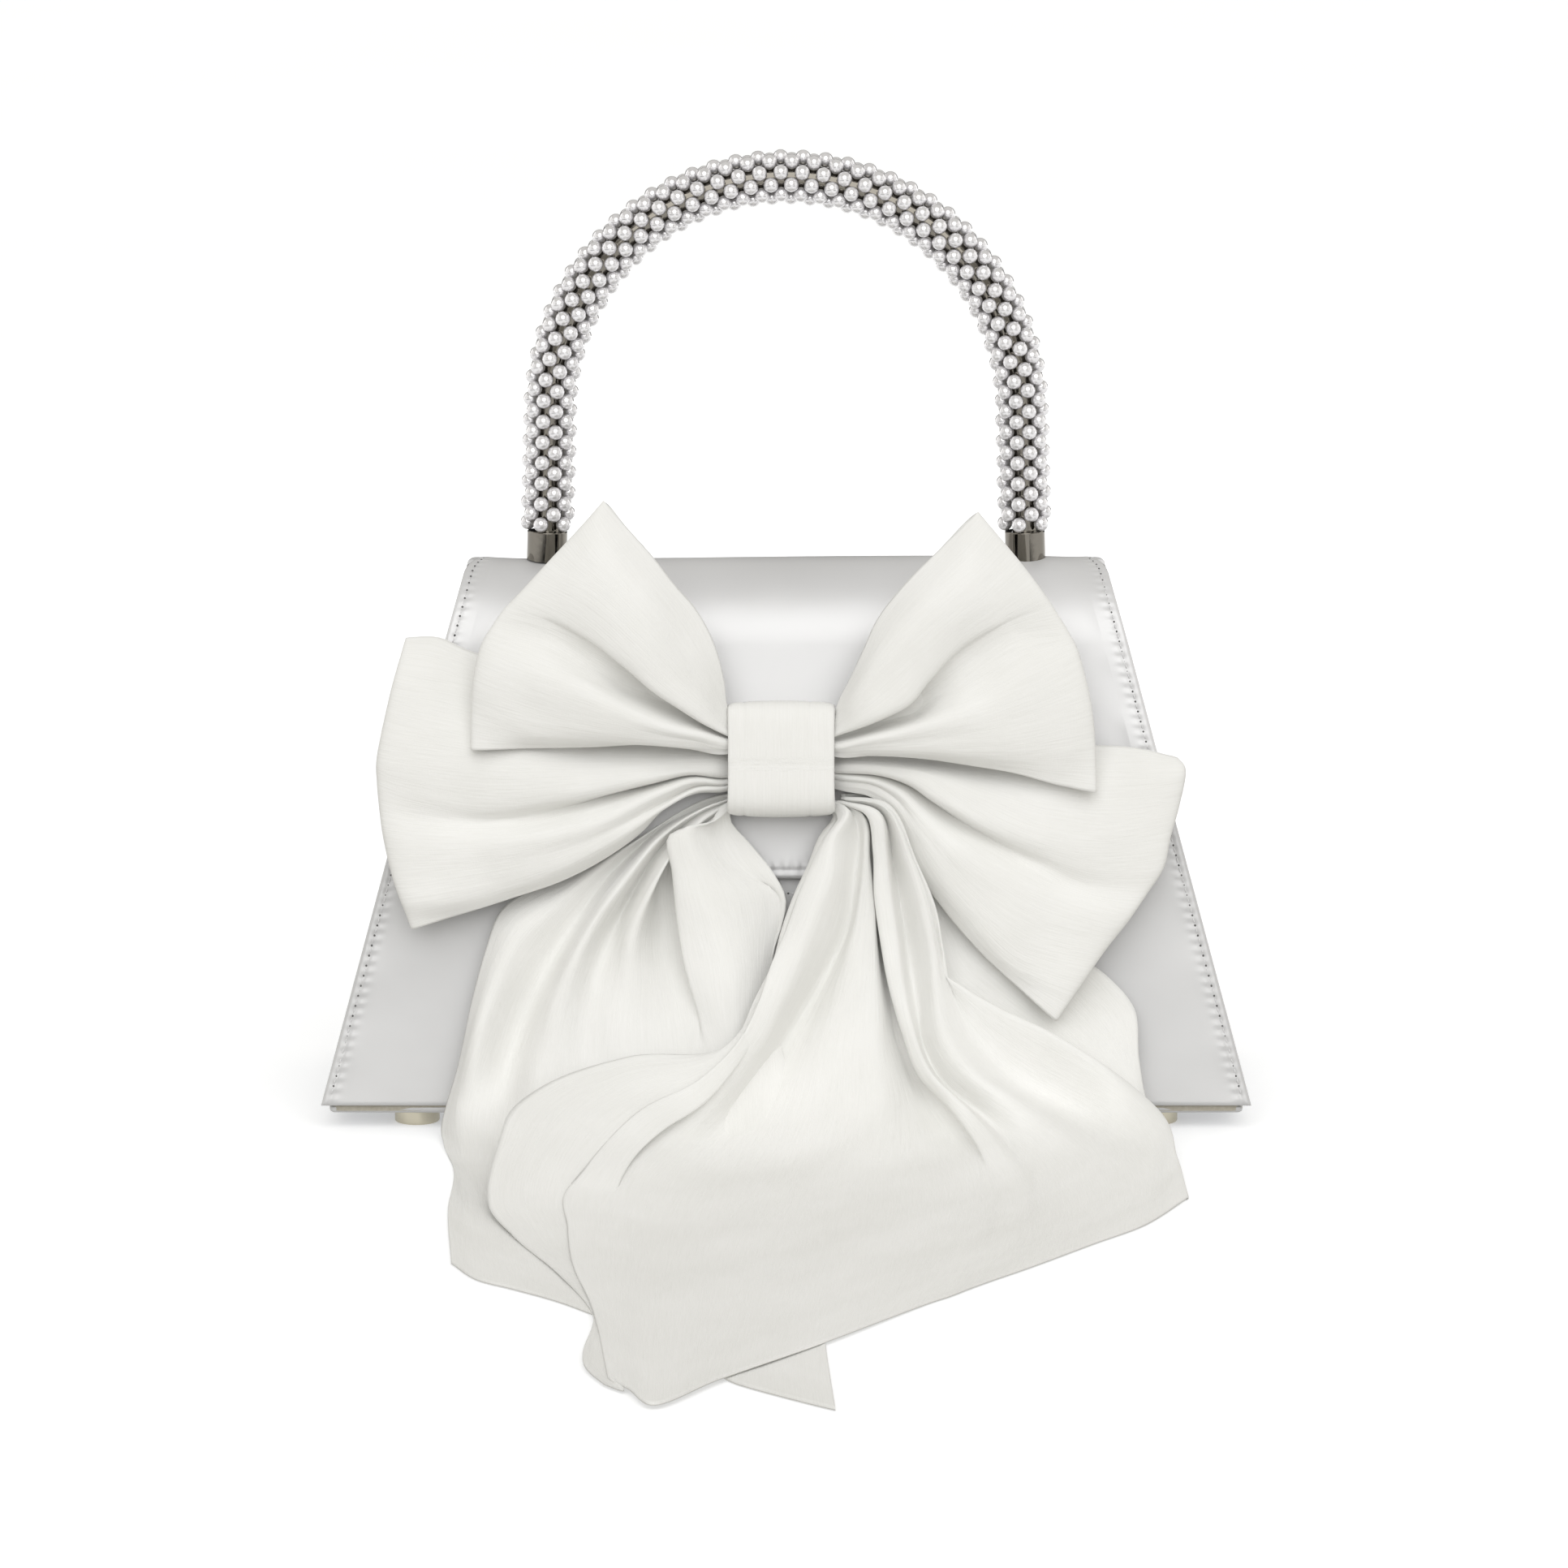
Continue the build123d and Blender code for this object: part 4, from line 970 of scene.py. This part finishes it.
# Each tail is a sheet through its fold lines, which run from the knot to the cut end, left to right.
LEFT_TAIL = {
    "left selvedge": [(-14, -32, 77), (-31, -33, 68), (-49, -34, 59), (-66, -37, 50), (-69, -40, 42),
                      (-72, -43, 31), (-75, -47, 17), (-79, -49, 3), (-78, -60, 0.8), (-75, -80, 0.5),
                      (-74, -123, 0.5), (-71, -168, 0.5)],
    "left lobe": [(-15, -34, 77), (-34, -35, 67), (-50, -38, 55), (-61, -43, 45), (-67, -48, 33),
                  (-71, -53, 21), (-74, -55, 9), (-73, -70, 2.5), (-71, -95, 0.6), (-69, -133, 0.5),
                  (-65, -182, 0.5)],
    "broad valley": [(-17, -33, 75), (-28, -34, 70), (-35, -34, 64), (-42, -35, 57), (-48, -37, 49),
                     (-54, -39, 40), (-60, -43, 29), (-64, -48, 17), (-66, -60, 8), (-66, -88, 2),
                     (-63, -128, 0.5), (-57, -190, 0.5)],
    "broad ridge": [(-18, -37, 75), (-29, -39, 68), (-36, -41.5, 60), (-43, -44, 51), (-49, -47.5, 41),
                    (-53, -51, 31), (-56, -55, 21), (-57, -65, 13), (-57, -82, 4), (-53, -123, 0.5),
                    (-46, -202, 0.5)],
    "narrow valley": [(-20, -35, 73), (-28, -34.5, 66), (-34, -35, 57), (-39, -37.5, 48), (-43, -42, 40),
                      (-45, -48, 31), (-46, -54, 22), (-45, -66, 12), (-44, -85, 3), (-37, -146, 0.5),
                      (-33, -222, 0.5)],
    "inner ridge": [(-19, -37, 72), (-25, -39.5, 66), (-31, -42.5, 56), (-35, -45, 46), (-36, -48, 36),
                    (-37, -53, 27), (-37, -58, 20), (-36, -70, 9), (-33, -100, 1), (-24, -240, 0.5)],
    "shadow valley": [(-18, -35, 71.5), (-26.5, -34, 66), (-29, -34.5, 58), (-28.5, -37, 46),
                      (-27, -43, 36), (-25, -50, 27), (-24, -58, 19), (-24, -72, 7), (-24, -109, 0.7),
                      (-18, -248, 0.5)],
    "turn under": [(-17.5, -36, 71), (-23, -35, 67), (-22, -35.5, 58), (-20, -39, 47), (-20, -45, 36),
                   (-20, -51, 27), (-20, -59, 19), (-20, -72, 7), (-20, -109, 0.7), (-15, -255, 0.5)],
    "fold edge": [(-18, -39, 71.5), (-27, -40.5, 68.5), (-26, -42, 61), (-25, -44, 51), (-23, -47, 40),
                  (-19, -52, 28), (-16, -60, 19), (-15, -72, 7), (-14, -109, 0.7), (-11, -263, 0.5)],
    "inner face": [(-17, -40, 72), (-22, -41.5, 71), (-20, -43.5, 60), (-17, -46, 51), (-14, -48.5, 41),
                   (-13, -53, 30), (-11, -61, 18), (-10, -72, 7), (-9, -109, 0.7), (-7, -268, 0.5)],
    "inner crease": [(-15, -38, 75), (-16, -37, 71), (-15, -37, 67), (-12, -38, 62), (-8, -38.5, 58.5),
                     (-4, -39, 56.5), (-3, -41, 50), (-4, -44, 41), (-4, -49, 31), (-3, -58, 18),
                     (-2, -70, 6), (-1, -109, 0.7), (3, -278, 0.5)],
    "right selvedge": [(-13, -36, 73), (-8, -36.5, 66), (-3, -38.5, 60), (0, -40.5, 54), (-1, -42, 48),
                       (-3, -43.5, 42), (-3, -48, 31), (1, -58, 15), (5, -70, 5), (6, -109, 0.7),
                       (8, -238, 0.5), (9.5, -284, 0.5)],
}
RIGHT_TAIL = {
    "left selvedge": [(11, -37, 73), (8, -39, 69), (5, -41, 62), (2, -44, 56), (-1, -47, 48),
                      (-3, -50, 41), (-7, -55, 34), (-12, -62, 25), (-36, -68, 23), (-53, -76, 19),
                      (-61, -84, 15), (-64, -98, 10), (-65, -125, 2.6), (-59, -146, 1.2),
                      (-48, -179, 1.05), (-40, -211, 1.0), (-39, -258, 0.9), (-36, -266, 0.8)],
    "under layer": [(11.5, -38, 73.3), (8.7, -40, 69), (5.6, -42, 62), (2.5, -45, 56), (-0.5, -48, 48),
                    (-2.5, -51, 41), (-6, -56, 33), (-14, -65, 24), (-36, -76, 19), (-46, -88, 15),
                    (-52, -104, 10), (-55, -125, 4.5), (-51, -146, 2), (-44, -179, 1.1),
                    (-38, -211, 1.05), (-37, -258, 0.9), (-34, -269, 0.8)],
    "turn under": [(13, -38, 73.3), (10, -40, 69), (7.5, -42, 62), (4.5, -45, 56), (2, -48, 48),
                   (0, -51, 41), (-3, -57, 33), (-9, -66, 24), (-18, -77, 15), (-28, -90, 11),
                   (-34, -104, 8), (-38, -125, 3.6), (-40, -150, 1.6), (-38, -180, 1.2), (-34, -211, 1.1),
                   (-33, -258, 1), (-32, -271, 0.9)],
    "step edge": [(12, -40.5, 73.3), (9, -42.5, 69), (6, -44.5, 63), (3, -47.5, 56), (0, -50, 48),
                  (-3, -53.5, 42), (-6, -58.5, 34), (-11, -67, 26), (-20, -75, 19), (-32, -85, 15),
                  (-39, -97, 11), (-44, -112, 8), (-48, -123, 5.2), (-47, -144, 2.8), (-45, -173, 1.8),
                  (-40, -208, 1.6), (-35, -264, 1.4)],
    "strip": [(14, -42, 75), (11, -44.5, 69), (10, -47.5, 61), (7, -50, 53), (3, -53, 43), (-1, -57, 34),
              (-5, -62, 26), (-14, -71, 16), (-24, -84, 9.5), (-32, -105, 5.8), (-36, -134, 2.8),
              (-36, -173, 1.7), (-34, -220, 1.5), (-31, -272, 1.4)],
    "first valley": [(15, -39, 74), (16, -39, 67), (15, -41, 59), (13, -43, 47), (8, -46, 37),
                     (2, -50, 27), (-4, -56, 18), (-11, -66, 9.5), (-19, -89, 4), (-24, -118, 2),
                     (-27, -173, 1.5), (-27, -229, 1.4), (-26, -283, 1.2)],
    "first face": [(17, -40, 74), (18, -42.5, 66), (17, -45.5, 55), (15, -48.5, 45), (12, -53, 34),
                   (9, -58, 23), (7, -66, 13), (3, -80, 5.2), (-2, -110, 2), (-7, -153, 1.5),
                   (-10, -202, 1.4), (-13, -264, 1.3)],
    "middle": [(18, -40, 73), (19, -42, 64), (20, -45, 53), (20, -49, 42), (20, -54, 32), (20, -61, 22),
               (21, -71, 12), (18, -86, 5), (15, -122, 1.8), (12, -169, 1.2), (7, -236, 1)],
    "second valley": [(18.5, -37.5, 72), (19, -37.5, 64), (20, -38.5, 54), (22, -41, 44), (24, -46, 33),
                      (26, -51, 23), (30, -56, 14), (36, -64, 6), (41, -93, 2), (38, -155, 0.6),
                      (30, -201, 0.5)],
    "pleat turn": [(20.5, -37.5, 72), (21.8, -37.5, 64), (22.8, -38.5, 54), (24.5, -41, 44),
                   (26.5, -46, 33), (28, -52, 23), (33, -58, 14), (40, -66, 7), (44, -94, 2.2),
                   (41, -155, 0.6), (34, -196, 0.5)],
    "pleat edge": [(18.5, -42, 74), (20, -43, 66), (20.3, -45, 56), (21.8, -47.5, 45), (23.5, -50.5, 36),
                   (26.5, -54.5, 26), (30, -60, 17.5), (37, -66, 11), (45, -87, 4), (45, -145, 0.7),
                   (38, -190, 0.5)],
    "pleat": [(21, -43, 74.5), (22.5, -44, 66), (23.5, -46, 56), (25, -48.5, 46), (26.5, -52, 36),
              (28.5, -56, 27), (32, -62, 19), (41, -69, 11), (50, -90, 3.5), (50, -145, 0.7),
              (43, -183, 0.5)],
    "third valley": [(21.5, -39, 74), (24.5, -39.5, 62), (26.5, -41.5, 51), (28.5, -45, 39),
                     (30, -50, 31), (31.5, -56, 22.5), (36, -61, 15), (45, -66, 8.5), (54, -87, 3.6),
                     (57, -125, 0.9), (52, -171, 0.5)],
    "outer pleat": [(22, -42, 76), (27.5, -45, 64), (31, -47.5, 53), (33, -50.5, 44), (34, -55, 35),
                    (36, -60, 26.5), (42, -64.5, 19), (52, -68, 12.5), (62, -76, 7), (69, -103, 2),
                    (66, -151, 0.5)],
    "long valley": [(22.5, -42, 76), (29, -45, 64), (33, -47, 53), (35, -49, 44), (37, -51, 37),
                    (40, -53, 29.5), (46.5, -54.5, 21), (54, -55, 14.5), (63, -57, 10), (74, -69, 6),
                    (80, -89, 2.4), (78, -134, 0.5)],
    "long ridge": [(23, -41, 76.5), (29.5, -44, 63.5), (34, -46.5, 53), (35.5, -49, 44),
                   (36, -50.5, 38.5), (40, -52, 36), (48, -53, 31.5), (60, -55, 26), (72, -57, 19),
                   (84, -59, 9.5), (87.5, -84, 3.4), (88, -111, 0.5)],
    "ridge turn": [(22, -37, 76), (28, -38, 62), (32, -40.5, 52), (34, -42.5, 43), (35, -45, 35.5),
                   (41, -46, 30.5), (48, -47.5, 26.5), (61, -50, 20), (71, -52.5, 14), (83, -55, 6),
                   (87.5, -81, 1.6), (88.3, -110.5, 0.45)],
    "back part": [(22, -34, 76), (31, -35.5, 62), (42, -38.5, 51), (54, -41, 41), (63, -42.5, 32),
                  (70, -44.5, 25), (76, -47, 18), (80, -50, 11), (84, -53, 4.5), (87.5, -78, 1.2),
                  (88.5, -110, 0.4)],
    "right selvedge": [(22, -33, 77), (33, -34, 66), (47, -37, 54), (61, -39, 44), (74, -41, 36),
                       (80, -43, 29), (81, -46, 18), (82.5, -49, 9), (84.5, -52, 3.5), (88, -76, 1),
                       (88.8, -109, 0.35)],
}


def folded_sheet(name, shape, gather, rows, columns, seed):
    """A tail: a flared sheet through its fold lines, with slight waves of its own."""
    along = np.linspace(0, 1, rows)
    lines = [[0.35 * np.array(line[0]) + 0.65 * np.array(gather), *line] for line in shape.values()]
    net = np.array([curve_at(line, along) for line in lines])
    grid = spline(net, spaced(lines), np.linspace(0, 1, columns)).transpose(1, 0, 2)
    hanging = ramp(grid[..., 2] / 12) * ramp(along / 0.2)[:, None]
    grid[..., 1] -= 0.8 * small_waves(grid, 14.0, seed) * hanging
    grid[..., 2] = np.maximum(grid[..., 2], TAIL_CLOTH / 2 + 0.05)
    piece = grid_object(name + "_ribbon", grid)
    thicken(piece, TAIL_CLOTH, levels=0)
    return finish_piece(piece, "flap", BOW_CLOTH, [name])


def make_tails():
    folded_sheet("tail_left", LEFT_TAIL, LEFT_GATHER, 140, 150, 5.0)
    folded_sheet("tail_right", RIGHT_TAIL, RIGHT_GATHER, 150, 210, 9.0)


# ---- stage ----
def make_floor():
    mesh = bpy.data.meshes.new("floor")
    mesh.from_pydata([(-20, -20, 0), (20, -20, 0), (20, 20, 0), (-20, 20, 0)], [], [(0, 1, 2, 3)])
    floor = bpy.data.objects.new("floor", mesh)
    bpy.context.scene.collection.objects.link(floor)
    material, nodes, links, shader = new_material("floor_paper", Roughness=0.9, Specular_IOR_Level=0.1)
    tone = noise_node(nodes, links, texture_space(nodes, links, (1, 1, 1)), 2.0, 2)
    paper = colour_ramp(nodes, links, tone, (0.885, 0.885, 0.885), (0.9, 0.9, 0.9))
    links.new(paper, shader.inputs["Base Color"])
    shader.inputs["Emission Color"].default_value = (0.92, 0.95, 1, 1)
    shader.inputs["Emission Strength"].default_value = 0.29
    mesh.materials.append(material)
    floor.visible_diffuse = False


def aim(thing, target):
    direction = Vector(target) - thing.location
    thing.rotation_euler = direction.to_track_quat("-Z", "Y").to_euler()


def soft_box(name, place, target, size, power, colour=(1, 1, 1)):
    light = bpy.data.lights.new(name, "AREA")
    light.shape, light.size, light.size_y = "RECTANGLE", size[0], size[1]
    light.energy, light.color = power, colour
    holder = bpy.data.objects.new(name, light)
    bpy.context.scene.collection.objects.link(holder)
    holder.location = place
    aim(holder, target)
    holder.visible_camera = False
    return holder


def dark_card(name, edge_points):
    """A black card, given as pairs of points along it, that only shows in reflections."""
    mesh = bpy.data.meshes.new(name)
    mesh.from_pydata(edge_points, [], [(i, i + 1, i + 3, i + 2) for i in range(0, len(edge_points) - 2, 2)])
    card = bpy.data.objects.new(name, mesh)
    bpy.context.scene.collection.objects.link(card)
    material, _, _, shader = new_material("black_card", Roughness=1.0, Specular_IOR_Level=0.0)
    shader.inputs["Base Color"].default_value = (0.01, 0.01, 0.01, 1)
    mesh.materials.append(material)
    card.visible_camera = card.visible_diffuse = card.visible_shadow = False


def floor_arc(start, end, inner=0.55, outer=1.05):
    """Points of a strip on the floor round the front of the bag, from angle to angle in degrees."""
    points = []
    for angle in np.radians(np.linspace(start, end, 16)):
        for radius in (inner, outer):
            points.append((radius * math.sin(angle), BAG_Y * MM - radius * math.cos(angle), 0.002))
    return points


def make_studio():
    bag_y = BAG_Y * MM
    target = (0, bag_y - 0.04, 0.08)
    key = bpy.data.objects.new("key", bpy.data.lights.new("key", "SUN"))
    key.data.energy, key.data.angle = 1.66, math.radians(70)
    key.data.color = (0.985, 0.99, 1.0)
    key.location = (0.05, bag_y - 1.3, 1.1)
    bpy.context.scene.collection.objects.link(key)
    aim(key, target)
    key.visible_glossy = False
    gleam = soft_box("gleam", (0.05, bag_y - 1.3, 1.0), target, (1.7, 1.7), 12)
    gleam.data.shape = "DISK"
    gleam.visible_diffuse = False
    for side in (-1, 1):
        soft_box("fill", (side * 1.5, bag_y - 0.6, 0.7), target, (0.9, 1.2), 1.6)
        rim = soft_box("rim", (side * 1.4, bag_y + 0.5, 0.5), target, (1.0, 1.6), 4)
        rim.visible_diffuse = False
    soft_box("back_fill", (0.3, bag_y + 1.5, 0.3), target, (1.8, 0.8), 7)
    dark_card("card_left", floor_arc(-75, -6))
    dark_card("card_right", floor_arc(26, 66))
    dark_card("card_back", [(x, bag_y + 1.3, z) for x in (-1.2, 1.2) for z in (0.1, 0.75)])
    world = bpy.data.worlds.new("studio")
    world.use_nodes = True
    world.node_tree.nodes["Background"].inputs["Color"].default_value = (1.0, 0.975, 0.915, 1)
    world.node_tree.nodes["Background"].inputs["Strength"].default_value = 0.52
    bpy.context.scene.world = world
    bpy.context.scene.view_settings.view_transform = "Standard"


CAMERA_DISTANCE = 1.5
CAMERA_ELEVATION = math.radians(10)
CAMERA_LENS = 149.9


def make_camera():
    camera = bpy.data.objects.new("camera", bpy.data.cameras.new("camera"))
    bpy.context.scene.collection.objects.link(camera)
    camera.data.lens = CAMERA_LENS
    camera.data.sensor_width = 36
    camera.data.clip_end = 60
    target = Vector((-0.0005, (BAG_Y - 35) * MM, 0.080))
    back = Vector((0, -math.cos(CAMERA_ELEVATION), math.sin(CAMERA_ELEVATION)))
    camera.location = target + back * CAMERA_DISTANCE
    aim(camera, target)
    bpy.context.scene.camera = camera


make_camera()
make_floor()
make_studio()
dress_cad_nodes()
sew_everything()
make_shell()
knot_piece()
make_loops()
make_tails()
